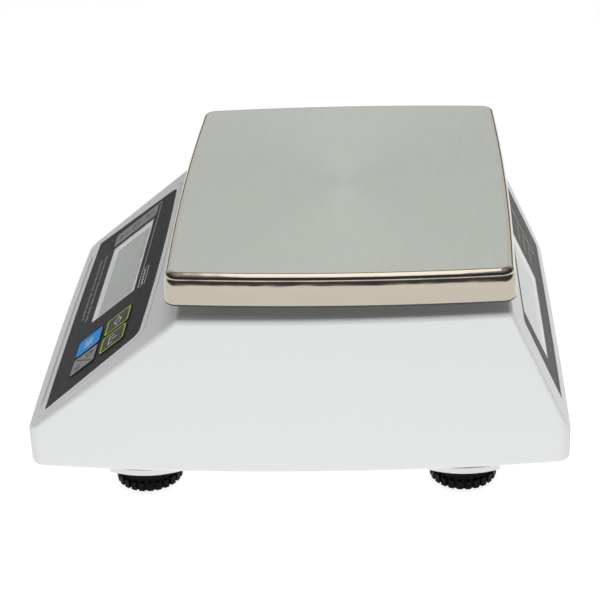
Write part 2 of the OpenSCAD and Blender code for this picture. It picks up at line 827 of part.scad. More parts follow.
// The cable leaves the fixed end of the cell and rises over the battery box to its plug
module load_cell_cable() {
  start = [-cell_l / 2, platter_y - 3, cell_bottom + cell_h / 2];
  end = cell_plug + [-cell_plug_size.x / 2, 0, cell_plug_size.z / 2];
  box_edge = [end.x, -battery_y + bay_w / 2 + box_wall, box_top];
  leaving = [for (p = [[0, 0, 0], [-4, 0, 0], [-8, -1, 1.5], [-11, -4, 5]]) start + p];
  over = [for (p = [[-19, 2.3, 2.4], [-19, -3.7, 6.4], [-18, -10.7, 9.4]]) box_edge + p];
  arriving = [for (p = [[-15, 9, 0.6], [-11, 3, 0.3], [-6, 0.4, 0], [0, 0, 0]]) end + p];
  color([0.25, 0.25, 0.26]) tube(concat(leaving, over, arriving), 1.5, 8);
}

// A flat ribbon: a side view drawn as a strip, wide along X
function strip(p, t) =
  concat(p, [for (i = [len(p) - 1:-1:0]) p[i] + [0, t]]);
module ribbon(x, width, points) {
  translate([x - width / 2, 0, 0])
    rotate([90, 0, 90]) linear_extrude(width) polygon(strip(points, 0.8));
}
// A point of a slope's own frame, as a place in the side view
function front_point(s, n) =
  [front_y + s * cos(front_slope) - n * sin(front_slope),
   front_z + s * sin(front_slope) + n * cos(front_slope)];
function rear_point(s, n) =
  [rear_y - s * cos(rear_slope) + n * sin(rear_slope),
   rear_z + s * sin(rear_slope) + n * cos(rear_slope)];
module front_ribbon() {
  start = [main_y - main_size.y / 2 + 1.4, board_z + board_t + 3];
  end = front_point(front_board_s + 8, board_n - board_t - 2);
  color([0.6, 0.6, 0.62])
    ribbon(0, 18, [end, end + [6, -1], (start + end) / 2 + [0, -4], start + [-6, -1], start]);
}
module rear_ribbon() {
  start = [main_y + main_size.y / 2 - 11.4, board_z + board_t + 3];
  end = rear_point(rear_board_s, board_n - board_t - 2);
  color([0.6, 0.6, 0.62])
    ribbon(-42, 14, [start, start + [8, 1.5], start + [40, 1.5], end - [20, 0], end]);
}

module level_cup() {
  color([0.15, 0.15, 0.16])
    translate([level_pos.x, level_pos.y, 0]) difference() {
      union() {
        rod(level_r, deck_z - 8, deck_z);
        rod(level_r + 2, deck_z, deck_z + 1.4);
      }
      rod(level_r - 1.4, deck_z - 6.5, deck_z + 3);
    }
}
module level_vial() {
  color([0.75, 0.9, 0.3, 0.6])
    translate([level_pos.x, level_pos.y, 0])
      rod(level_r - 1.4 - run, deck_z - 6.5, deck_z + 1);
}

module foot_inserts() {
  color([0.8, 0.65, 0.3])
    for (p = foot_at) translate([p.x, p.y, 0]) difference() {
      rod(insert_r, rim_z - foot_collar_h + 1, stud_top);
      rod(stud_d / 2, 0, stud_top + 1);
    }
}

module load_cell_head() {
  color([0.62, 0.63, 0.65])
    difference() {
      block([block_l, cell_w, head_block_h], [(cell_l - block_l) / 2, platter_y], cell_top);
      cell_holes(1, 2.5 + 0.3, cell_top - 1, flange_z + 1);
    }
}
module head_bolts() {
  color([0.35, 0.35, 0.37])
    for (i = [-1, 1])
      translate([(cell_l - block_l) / 2 + i * 7, platter_y, flange_z + flange_t])
        screw(2.5, flange_t + head_block_h + 10, 4.2, 3);
}
module column() {
  color([0.66, 0.67, 0.68])
    difference() {
      union() {
        block([cell_l / 2 + column_d / 2, cell_w, flange_t],
              [cell_l / 4 - column_d / 4, platter_y], flange_z);
        translate([0, platter_y, 0]) rod(column_d / 2, flange_z, column_top);
      }
      translate([0, platter_y, 0]) rod(column_d / 2 - 4, flange_z + flange_t, column_top + 1);
      translate([column_d / 2 - 6, platter_y - cell_w, flange_z + flange_t])
        cube([12, 2 * cell_w, 9]);
      cell_holes(1, 2.5 + 0.3, flange_z - 1, flange_z + flange_t + 1);
    }
}
spider_screw_at = [for (a = [0, 90, 180, 270]) (column_d / 2 - 2) * [cos(a), sin(a)]];
module spider() {
  color([0.66, 0.67, 0.68])
    difference() {
      translate([0, platter_y, 0]) {
        rod(column_d / 2 + 2, column_top, column_top + arm_t);
        for (i = [-1, 1], j = [-1, 1]) {
          reach = norm(arm_end);
          rotate([0, 0, atan2(j * arm_end.y, i * arm_end.x)])
            translate([0, -arm_w / 2, column_top]) cube([reach, arm_w, arm_t]);
          translate([i * arm_end.x, j * arm_end.y, 0])
            rod(pad_r + 1, column_top, pad_top - pad_h);
        }
      }
      translate([0, platter_y, 0]) rod(8, column_top - 1, column_top + arm_t + 1);
      for (p = spider_screw_at)
        translate([p.x, p.y + platter_y, 0]) rod(1.7, column_top - 1, column_top + arm_t + 1);
    }
}
module spider_screws() {
  color([0.8, 0.8, 0.82])
    for (p = spider_screw_at)
      translate([p.x, p.y + platter_y, column_top + arm_t]) screw(1.5, arm_t - 0.2, 3, 1.8);
}
module spider_pads() {
  color([0.15, 0.15, 0.15])
    for (i = [-1, 1], j = [-1, 1])
      translate([i * arm_end.x, platter_y + j * arm_end.y, 0]) rod(pad_r, pad_top - pad_h, pad_top);
}

module platter_form(inset, z0) {
  bend = edge_steps(bend_r - inset, [0, 22.5, 45, 67.5, 90]);
  bend_z = platter_top - bend_r;
  flare = skirt_flare * (bend_z - z0) / (bend_z - platter_z);
  loft(concat(
    [[z0, platter_outline(inset - flare)]],
    [for (e = bend) [platter_top - inset - e[0], platter_outline(inset + e[1])]]
  ));
}
module platter() {
  color([0.78, 0.78, 0.76])
    difference() {
      platter_form(0, platter_z);
      platter_form(sheet, platter_z - 1);
    }
}

module key(col, row) {
  on_front() {
    rect_plate([key_w, key_h], key_at(col, row), 2.5, key_foot_n, key_proud);
    rect_plate([key_w + 2 * key_flange, key_h + 2 * key_flange], key_at(col, row), 2.5,
               key_foot_n, -wall - 0.05);
  }
}
module key_zero() { color([0.35, 0.4, 0.15]) key(0, 1); }
module key_tare() { color([0.35, 0.4, 0.15]) key(1, 1); }
module key_sample() { color([0.15, 0.25, 0.45]) key(0, 0); }
module key_power() { color([0.3, 0.3, 0.32]) key(1, 0); }

module foot_pad(i) {
  color([0.1, 0.1, 0.1]) translate(foot_at[i]) rod(wheel_d / 2 - 3, 0, pad_t);
}
module foot_wheel(i) {
  block_top = pad_t + block_t;
  collar_bottom = rim_z - foot_collar_h;
  ring_top = collar_bottom - ring_gap;
  color([0.12, 0.12, 0.12])
    translate(foot_at[i]) {
      difference() {
        rod(wheel_d / 2, pad_t, block_top);
        for (k = [0:blocks - 1])
          rotate([0, 0, 360 * k / blocks])
            translate([wheel_d / 2 - ring_sink, -notch_w / 2, pad_t - 1])
              cube([2 * ring_sink, notch_w, block_t + 2]);
      }
      rod(wheel_d / 2 - ring_sink, block_top - eps, ring_top);
      rod(hub_r, ring_top - eps, collar_bottom);
      rod(stud_d / 2 - run, ring_top - eps, stud_top - 1);
    }
}
module foot_pad_fl() { foot_pad(0); }
module foot_pad_fr() { foot_pad(1); }
module foot_pad_rl() { foot_pad(2); }
module foot_pad_rr() { foot_pad(3); }
module foot_wheel_fl() { foot_wheel(0); }
module foot_wheel_fr() { foot_wheel(1); }
module foot_wheel_rl() { foot_wheel(2); }
module foot_wheel_rr() { foot_wheel(3); }

upper_housing();
base_pan();
housing_screws();
front_bezel();
front_overlay();
front_lens();
front_lcd();
front_display_board();
key_domes();
rear_overlay();
rear_lens();
rear_lcd();
rear_display_board();
main_board();
board_chips();
buzzer();
board_screws();
dc_jack();
battery_box();
battery_cells();
battery_contacts();
battery_leads();
battery_door();
chassis();
chassis_screws();
load_cell_foot();
load_cell();
load_cell_bolts();
overload_screw();
load_cell_cable();
front_ribbon();
rear_ribbon();
level_cup();
level_vial();
foot_inserts();
load_cell_head();
head_bolts();
column();
spider();
spider_screws();
spider_pads();
platter();
key_zero();
key_tare();
key_sample();
key_power();
foot_pad_fl();
foot_wheel_fl();
foot_pad_fr();
foot_wheel_fr();
foot_pad_rl();
foot_wheel_rl();
foot_pad_rr();
foot_wheel_rr();
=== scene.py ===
"""Looks of a counting scale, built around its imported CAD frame.  Metres, +X operator's right,
-Y operator's side, +Z up.  New pieces take their outlines from the same driving sizes as the
CAD part, so they lie in the same places."""

import json
import math

import bmesh
import bpy
from mathutils import Matrix, Quaternion, Vector


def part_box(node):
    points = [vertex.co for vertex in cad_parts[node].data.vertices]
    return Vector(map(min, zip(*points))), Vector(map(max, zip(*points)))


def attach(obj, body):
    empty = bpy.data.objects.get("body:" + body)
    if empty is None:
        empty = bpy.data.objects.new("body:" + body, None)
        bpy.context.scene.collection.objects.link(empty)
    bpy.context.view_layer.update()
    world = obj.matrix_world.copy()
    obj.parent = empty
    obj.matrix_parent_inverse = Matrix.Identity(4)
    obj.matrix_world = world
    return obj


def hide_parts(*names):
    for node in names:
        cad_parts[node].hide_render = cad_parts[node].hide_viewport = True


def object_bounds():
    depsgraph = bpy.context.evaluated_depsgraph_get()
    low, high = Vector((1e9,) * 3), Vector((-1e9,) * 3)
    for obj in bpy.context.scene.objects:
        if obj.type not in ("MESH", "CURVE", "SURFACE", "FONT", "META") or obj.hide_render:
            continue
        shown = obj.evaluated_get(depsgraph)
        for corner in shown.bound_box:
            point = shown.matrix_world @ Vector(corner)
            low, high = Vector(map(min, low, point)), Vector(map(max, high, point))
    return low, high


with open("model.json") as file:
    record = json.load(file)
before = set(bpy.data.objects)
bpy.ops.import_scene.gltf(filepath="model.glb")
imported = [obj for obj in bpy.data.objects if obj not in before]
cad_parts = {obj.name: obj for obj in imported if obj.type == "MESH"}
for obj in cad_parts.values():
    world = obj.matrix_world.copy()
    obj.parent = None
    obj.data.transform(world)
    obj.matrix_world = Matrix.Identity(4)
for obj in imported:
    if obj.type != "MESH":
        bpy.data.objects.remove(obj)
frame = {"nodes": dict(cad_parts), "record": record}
cad_low, cad_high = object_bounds()

MM = 0.001
NODES = frame["nodes"]

# Camera, seen from the operator's right
CAMERA_AT = (0.9067, 0.0609, 0.5511)
CAMERA_LENS = 101.2
CAMERA_PITCH = math.radians(28.5)
CAMERA_YAW = math.radians(4.01)
CAMERA_ROLL = math.radians(-2.64)

# What reflections see round the object: (height from straight down 0 to straight up 1, brightness)
SKY_BEHIND = [(0.0, 0.12), (0.1, 0.14), (0.22, 0.84), (0.62, 0.84), (0.8, 0.1), (1.0, 0.4)]
SKY_AHEAD = [(0.0, 0.07), (0.14, 0.05), (0.5, 0.05), (0.62, 0.07), (0.8, 0.25), (1.0, 0.5)]
SKY_TURN = (-0.8, -0.3)

# Floor: its half width, how far it lies under the feet, its tone and glow, and the lit pool
FLOOR_HALF = 6.0
FLOOR_DROP = 0.1 * MM
FLOOR_TONE = 0.42
FLOOR_GLOW = 0.81
POOL_CENTRE = (-0.6, 0.0, 0.0)
POOL_FADE = (1.5, 1.95)
POOL_OUTSIDE = 0.08

# Housing
BODY_W = 254 * MM
BODY_D = cad_high.y - cad_low.y
RIM_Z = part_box("upper_housing")[0].z
COLLAR_H = 2.5 * MM
COLLAR_WALL = 3 * MM
DECK_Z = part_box("upper_housing")[1].z - COLLAR_H
BODY_H = DECK_Z - RIM_Z
SIDE_DRAFT = 7.5 * MM
SIDE_BOW = 9 * MM
FRONT_BOW = 2.3 * MM
REAR_BOW = 1.5 * MM
CORNER_R = 9 * MM
WALL = 2.8 * MM
RIM_R = 2 * MM
EDGE_R = 3 * MM
OVERCUT = 9 * MM
PAN_TOP = RIM_Z + 3 * MM
FLANGE_W = WALL + 1.2 * MM
POST_R = 4.5 * MM
POST_BORE_R = 1.53 * MM
POST_BORE_H = 13 * MM
POSTS = [(107 * MM, -122 * MM), (110 * MM, 2 * MM), (104 * MM, 128 * MM)]

# Slopes: the foot of each on its upright wall, and its angle
FRONT_SLOPE = math.radians(38.3)
REAR_SLOPE = math.radians(65.7)
FRONT_Y = -BODY_D / 2 + FRONT_BOW
FRONT_Z = RIM_Z + 22.6 * MM
REAR_Y = BODY_D / 2 - REAR_BOW
REAR_Z = RIM_Z + 18.6 * MM
ON_FRONT = Matrix.Translation((0, FRONT_Y, FRONT_Z)) @ Matrix.Rotation(FRONT_SLOPE, 4, "X")
ON_REAR = (
    Matrix.Translation((0, REAR_Y, REAR_Z))
    @ Matrix.Rotation(math.pi, 4, "Z")
    @ Matrix.Rotation(REAR_SLOPE, 4, "X")
)

# Panels
GAP = 0.3 * MM
BEZEL_RIM = 4 * MM
BEZEL_T = 1.7 * MM
LIP_W = 184 * MM
LIP_H = 5 * MM
LIP_R = 2 * MM
LIP_S = 3.6 * MM
LIP_RISE = 0.8 * MM
OVERLAY_W = 210 * MM
OVERLAY_TAPER = 7.5 * MM
OVERLAY_H = 72 * MM
OVERLAY_S = 11 * MM
OVERLAY_T = 0.8 * MM
OVERLAY_SINK = 0.1 * MM
FRONT_BOWS = (1.2 * MM, 2.2 * MM)
FRONT_CORNERS = (1.5 * MM, 6 * MM)
REAR_W = 192 * MM
REAR_X = 4 * MM
REAR_H = 53 * MM
REAR_S = 8 * MM
REAR_TAPER = 3 * MM
REAR_BOWS = (1.4 * MM, 1.4 * MM)
REAR_CORNERS = (1 * MM, 3 * MM)
WINDOW_W = 99 * MM
WINDOW_H = 35.5 * MM
WINDOW_X = -23.4 * MM
WINDOW_LIP = 2 * MM
WINDOW_R = 1.5 * MM
FRONT_WINDOW_S = 48.2 * MM
REAR_WINDOW_S = 42 * MM
LCD_TOP = -WALL - 0.2 * MM
KEY_W = 18.6 * MM
KEY_H = 19.4 * MM
KEY_TOP = 0.35 * MM
KEY_CENTRE = (66 * MM, 47.4 * MM)
KEY_PITCH = (20.8 * MM, 23.2 * MM)
KEY_R = 2.5 * MM
FILM = -OVERLAY_SINK
INK_T = 0.04 * MM
INK_SINK = 0.02 * MM
INK_CORNER = 0.3 * MM

# Deck
PLATTER_Y = 26.3 * MM
HOLE_R = 29 * MM
LEVEL_AT = (78 * MM, -32 * MM)
LEVEL_R = 9.05 * MM
JACK_X = -70 * MM
JACK_Z = RIM_Z + 9.2 * MM
JACK_R = 4.65 * MM

# Platter
PLATTER_W = 239 * MM
PLATTER_D = 191.6 * MM
SKIRT_FLARE = 1.1 * MM
PLATTER_SIDE_BOW = 4.1 * MM
PLATTER_END_BOW = 2.7 * MM
PLATTER_CORNER_R = 8 * MM
SHEET = 1 * MM
BEND_R = 3.5 * MM
HEM = 0.45 * MM
# Bands of the platter's mesh at the foot of its skirt and round its hem, coloured dark: painted
# shade under the skirt
SKIRT_SHADE_BANDS = (23, 29)
PLATTER_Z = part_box("platter")[0].z
PLATTER_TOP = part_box("platter")[1].z


# ---------------------------------------------------------------- camera, lights and floor

def make_camera():
    """The main view, from the operator's right and above, with a slight roll."""
    data = bpy.data.cameras.new("camera")
    data.sensor_width = 36
    data.lens = CAMERA_LENS
    camera = bpy.data.objects.new("camera", data)
    bpy.context.scene.collection.objects.link(camera)
    level = math.cos(CAMERA_PITCH)
    forward = Vector((-level * math.cos(CAMERA_YAW), -level * math.sin(CAMERA_YAW),
                      -math.sin(CAMERA_PITCH)))
    roll = Quaternion((0, 0, 1), CAMERA_ROLL)
    camera.location = CAMERA_AT
    camera.rotation_mode = "QUATERNION"
    camera.rotation_quaternion = forward.to_track_quat("-Z", "Y") @ roll
    bpy.context.scene.camera = camera


def softbox(name, place, target, size, power, mirrored=False):
    """A soft area lamp; only a mirrored one shows in reflections."""
    data = bpy.data.lights.new(name, "AREA")
    data.shape = "RECTANGLE"
    data.size = size[0]
    data.size_y = size[1]
    data.energy = power
    lamp = bpy.data.objects.new(name, data)
    bpy.context.scene.collection.objects.link(lamp)
    lamp.location = place
    lamp.rotation_mode = "QUATERNION"
    lamp.rotation_quaternion = (Vector(target) - Vector(place)).to_track_quat("-Z", "Y")
    lamp.visible_glossy = mirrored


def make_lights():
    softbox("overhead", (0.2, 0.0, 1.5), (0.05, 0, 0.1), (0.6, 2.0), 5, mirrored=True)
    softbox("side_left", (1.9, -0.78, 0.55), (0, 0, 0.08), (0.8, 0.7), 8.6)
    softbox("side_right", (1.9, 0.78, 0.55), (0, 0, 0.08), (0.8, 0.7), 10.2)


def make_world():
    """A white backdrop; in reflections it is bright behind the object and dark ahead of it."""
    world = bpy.data.worlds.new("studio")
    bpy.context.scene.world = world
    world.use_nodes = True
    tree = world.node_tree
    tree.nodes.clear()
    place = tree.nodes.new("ShaderNodeTexCoord")
    split = tree.nodes.new("ShaderNodeSeparateXYZ")
    tree.links.new(place.outputs["Generated"], split.inputs[0])
    behind = ramp(tree, split.outputs["Z"], SKY_BEHIND)
    ahead = ramp(tree, split.outputs["Z"], SKY_AHEAD)
    turn = tree.nodes.new("ShaderNodeMapRange")
    turn.inputs["From Min"].default_value = SKY_TURN[0]
    turn.inputs["From Max"].default_value = SKY_TURN[1]
    tree.links.new(split.outputs["X"], turn.inputs["Value"])
    mix = tree.nodes.new("ShaderNodeMix")
    mix.data_type = "RGBA"
    tree.links.new(turn.outputs[0], mix.inputs["Factor"])
    tree.links.new(behind, mix.inputs["A"])
    tree.links.new(ahead, mix.inputs["B"])
    direct = tree.nodes.new("ShaderNodeLightPath")
    seen = tree.nodes.new("ShaderNodeMix")
    seen.data_type = "RGBA"
    seen.inputs["B"].default_value = (1, 1, 1, 1)
    tree.links.new(direct.outputs["Is Camera Ray"], seen.inputs["Factor"])
    tree.links.new(mix.outputs["Result"], seen.inputs["A"])
    background = tree.nodes.new("ShaderNodeBackground")
    tree.links.new(seen.outputs["Result"], background.inputs["Color"])
    out = tree.nodes.new("ShaderNodeOutputWorld")
    tree.links.new(background.outputs[0], out.inputs[0])


def ramp(tree, value, stops):
    """A grey ramp on a value: stops are (position, brightness)."""
    node = tree.nodes.new("ShaderNodeValToRGB")
    elements = node.color_ramp.elements
    while len(elements) < len(stops):
        elements.new(0.5)
    for element, (position, level) in zip(elements, stops):
        element.position = position
        element.color = (level, level, level, 1)
    tree.links.new(value, node.inputs[0])
    return node.outputs["Color"]


def make_floor():
    """White paper that glows a little: all of it seen direct, a pool of it in reflections."""
    mesh = bpy.data.meshes.new("floor")
    corners = [(x * FLOOR_HALF, y * FLOOR_HALF, -FLOOR_DROP)
               for x, y in ((-1, -1), (1, -1), (1, 1), (-1, 1))]
    mesh.from_pydata(corners, [], [(0, 1, 2, 3)])
    floor = bpy.data.objects.new("floor", mesh)
    bpy.context.scene.collection.objects.link(floor)
    paper, tree, shader = material("paper_floor", (FLOOR_TONE,) * 3, 0.9)
    shader.inputs["Specular IOR Level"].default_value = 0.0
    place = tree.nodes.new("ShaderNodeTexCoord")
    reach = tree.nodes.new("ShaderNodeVectorMath")
    reach.operation = "DISTANCE"
    reach.inputs[1].default_value = POOL_CENTRE
    tree.links.new(place.outputs["Object"], reach.inputs[0])
    fade = tree.nodes.new("ShaderNodeMapRange")
    fade.interpolation_type = "SMOOTHSTEP"
    fade.inputs["From Min"].default_value = POOL_FADE[0]
    fade.inputs["From Max"].default_value = POOL_FADE[1]
    fade.inputs["To Min"].default_value = 1.0
    fade.inputs["To Max"].default_value = POOL_OUTSIDE
    tree.links.new(reach.outputs["Value"], fade.inputs["Value"])
    direct = tree.nodes.new("ShaderNodeLightPath")
    pool = tree.nodes.new("ShaderNodeMath")
    pool.operation = "MAXIMUM"
    tree.links.new(fade.outputs[0], pool.inputs[0])
    tree.links.new(direct.outputs["Is Camera Ray"], pool.inputs[1])
    for level, socket in ((FLOOR_TONE, "Base Color"), (FLOOR_GLOW, "Emission Strength")):
        scaled = tree.nodes.new("ShaderNodeMath")
        scaled.operation = "MULTIPLY"
        scaled.inputs[1].default_value = level
        tree.links.new(pool.outputs[0], scaled.inputs[0])
        tree.links.new(scaled.outputs[0], shader.inputs[socket])
    shader.inputs["Emission Color"].default_value = (1, 1, 1, 1)
    mesh.materials.append(paper)


# ---------------------------------------------------------------- materials

def material(name, colour, roughness, metallic=0.0):
    """A new material with its node tree and its shader."""
    made = bpy.data.materials.new(name)
    made.use_nodes = True
    tree = made.node_tree
    shader = tree.nodes["Principled BSDF"]
    shader.inputs["Base Color"].default_value = (*colour, 1)
    shader.inputs["Roughness"].default_value = roughness
    shader.inputs["Metallic"].default_value = metallic
    return made, tree, shader


def noise(tree, scale, detail=3.0, stretch=(1, 1, 1)):
    """Noise in the object's own metres; stretch squeezes it along an axis."""
    place = tree.nodes.new("ShaderNodeTexCoord")
    mapping = tree.nodes.new("ShaderNodeMapping")
    mapping.inputs["Scale"].default_value = stretch
    tree.links.new(place.outputs["Object"], mapping.inputs["Vector"])
    texture = tree.nodes.new("ShaderNodeTexNoise")
    texture.inputs["Scale"].default_value = scale
    texture.inputs["Detail"].default_value = detail
    tree.links.new(mapping.outputs["Vector"], texture.inputs["Vector"])
    return texture.outputs["Fac"]


def mottle(tree, shader, low, high, scale, stretch=(1, 1, 1)):
    """Base colour that drifts between two tones."""
    blend = tree.nodes.new("ShaderNodeMix")
    blend.data_type = "RGBA"
    blend.inputs["A"].default_value = (*low, 1)
    blend.inputs["B"].default_value = (*high, 1)
    tree.links.new(noise(tree, scale, stretch=stretch), blend.inputs["Factor"])
    tree.links.new(blend.outputs["Result"], shader.inputs["Base Color"])


def vary_roughness(tree, shader, low, high, scale, stretch=(1, 1, 1)):
    """Roughness that drifts between two values."""
    spread = tree.nodes.new("ShaderNodeMapRange")
    spread.inputs["From Min"].default_value = 0.3
    spread.inputs["From Max"].default_value = 0.7
    spread.inputs["To Min"].default_value = low
    spread.inputs["To Max"].default_value = high
    tree.links.new(noise(tree, scale, stretch=stretch), spread.inputs["Value"])
    tree.links.new(spread.outputs[0], shader.inputs["Roughness"])


def relief(tree, shader, height, strength, distance):
    """Bump from a height, over a distance in metres."""
    bump = tree.nodes.new("ShaderNodeBump")
    bump.inputs["Strength"].default_value = strength
    bump.inputs["Distance"].default_value = distance
    tree.links.new(height, bump.inputs["Height"])
    tree.links.new(bump.outputs[0], shader.inputs["Normal"])


def moulded(name, low, high, roughness, grain=1400, depth=0.02, coat=0.0, shine=0.5):
    """Injection-moulded plastic: a slight drift of tone and a fine spark-eroded grain."""
    made, tree, shader = material(name, low, roughness)
    mottle(tree, shader, low, high, 6)
    vary_roughness(tree, shader, roughness * 0.96, roughness * 1.04, 25)
    relief(tree, shader, noise(tree, grain, 4), 0.25, depth * MM)
    shader.inputs["Specular IOR Level"].default_value = shine
    shader.inputs["Coat Weight"].default_value = coat
    shader.inputs["Coat Roughness"].default_value = 0.12
    return made


def metal(name, low, high, roughness, grain, stretch, depth, tone_scale=25):
    """Metal with a directional or even grain in tone, roughness and relief."""
    made, tree, shader = material(name, low, roughness, 1.0)
    mottle(tree, shader, low, high, tone_scale, stretch)
    vary_roughness(tree, shader, roughness * 0.8, roughness * 1.25, grain, stretch)
    relief(tree, shader, noise(tree, grain, 5, stretch), 0.3, depth * MM)
    return made


def satin_steel():
    """The platter's top: very fine straight brushing along its width."""
    low = (0.62, 0.64, 0.59)
    high = (0.65, 0.67, 0.62)
    brush = (1, 60, 1)
    made, tree, shader = material("satin_steel", low, 0.3, 1.0)
    mottle(tree, shader, low, high, 40, brush)
    vary_roughness(tree, shader, 0.3, 0.42, 45, brush)
    relief(tree, shader, noise(tree, 60, 6, brush), 0.16, 0.01 * MM)
    shader.inputs["Anisotropic"].default_value = 0.35
    return made


def polished_steel():
    """The platter's skirt: drawn and polished, with a slow waviness in its reflections."""
    low = (0.5, 0.46, 0.385)
    high = (0.54, 0.495, 0.415)
    made, tree, shader = material("polished_steel", low, 0.1, 1.0)
    mottle(tree, shader, low, high, 18)
    vary_roughness(tree, shader, 0.07, 0.15, 90, (1, 1, 3))
    relief(tree, shader, noise(tree, 30, 2, (1, 1, 2.5)), 0.4, 0.9 * MM)
    return made


def printed_film(name, low, high, shine):
    """Polyester overlay film with a fine velvet texture."""
    roughness = 0.36
    made, tree, shader = material(name, low, roughness)
    shader.inputs["Specular IOR Level"].default_value = shine
    mottle(tree, shader, low, high, 30)
    vary_roughness(tree, shader, roughness * 0.9, roughness * 1.2, 400)
    relief(tree, shader, noise(tree, 2600, 2), 0.22, 0.01 * MM)
    return made


def ink(name, colour):
    """Matt screen-printing ink."""
    made, tree, shader = material(name, colour, 0.42)
    shader.inputs["Specular IOR Level"].default_value = 0.1
    darker = tuple(0.92 * c for c in colour)
    mottle(tree, shader, darker, colour, 300)
    relief(tree, shader, noise(tree, 2600, 2), 0.2, 0.01 * MM)
    return made


def clear_window():
    made, tree, shader = material("clear_window", (0.96, 0.98, 0.96), 0.03)
    shader.inputs["Transmission Weight"].default_value = 1.0
    shader.inputs["IOR"].default_value = 1.2
    vary_roughness(tree, shader, 0.02, 0.06, 120)
    return made


def level_liquid():
    made, tree, shader = material("level_liquid", (0.62, 0.85, 0.12), 0.04)
    mottle(tree, shader, (0.6, 0.84, 0.1), (0.68, 0.88, 0.16), 90)
    shader.inputs["Transmission Weight"].default_value = 0.75
    shader.inputs["IOR"].default_value = 1.4
    return made


def lcd_glass():
    """Reflective grey liquid-crystal glass with the faint grain of its rear reflector."""
    low = (0.14, 0.152, 0.138)
    high = (0.155, 0.167, 0.152)
    made, tree, shader = material("lcd_glass", low, 0.3)
    mottle(tree, shader, low, high, 20)
    relief(tree, shader, noise(tree, 3000, 2), 0.15, 0.01 * MM)
    shader.inputs["Specular IOR Level"].default_value = 0.1
    return made


def circuit_board():
    """Green solder mask over copper: straight tracks and a fine glass weave."""
    mask = (0.012, 0.11, 0.05)
    track = (0.03, 0.22, 0.1)
    made, tree, shader = material("circuit_board", mask, 0.35)
    place = tree.nodes.new("ShaderNodeTexCoord")
    tracks = tree.nodes.new("ShaderNodeTexBrick")
    tracks.inputs["Scale"].default_value = 160
    tracks.inputs["Mortar Size"].default_value = 0.03
    tracks.inputs["Color1"].default_value = (*mask, 1)
    tracks.inputs["Color2"].default_value = (mask[0] * 1.4, mask[1] * 1.25, mask[2] * 1.3, 1)
    tracks.inputs["Mortar"].default_value = (*track, 1)
    tree.links.new(place.outputs["Object"], tracks.inputs["Vector"])
    tree.links.new(tracks.outputs["Color"], shader.inputs["Base Color"])
    relief(tree, shader, noise(tree, 1500, 3), 0.2, 0.02 * MM)
    shader.inputs["Coat Weight"].default_value = 0.3
    return made


def cell_jacket():
    """A printed metal sleeve: a dark body with a gold band at the positive end."""
    made, tree, shader = material("cell_jacket", (0.03, 0.03, 0.032), 0.3)
    place = tree.nodes.new("ShaderNodeTexCoord")
    wave = tree.nodes.new("ShaderNodeTexWave")
    wave.wave_profile = "SAW"
    wave.inputs["Scale"].default_value = 1 / (61.5 * MM) / 3.18
    wave.inputs["Distortion"].default_value = 0
    tree.links.new(place.outputs["Object"], wave.inputs["Vector"])
    bands = tree.nodes.new("ShaderNodeValToRGB")
    bands.color_ramp.interpolation = "CONSTANT"
    bands.color_ramp.elements[0].color = (0.55, 0.3, 0.06, 1)
    bands.color_ramp.elements[1].position = 0.3
    bands.color_ramp.elements[1].color = (0.025, 0.025, 0.028, 1)
    tree.links.new(wave.outputs["Fac"], bands.inputs[0])
    tree.links.new(bands.outputs["Color"], shader.inputs["Base Color"])
    vary_roughness(tree, shader, 0.25, 0.38, 200)
    shader.inputs["Metallic"].default_value = 0.4
    return made


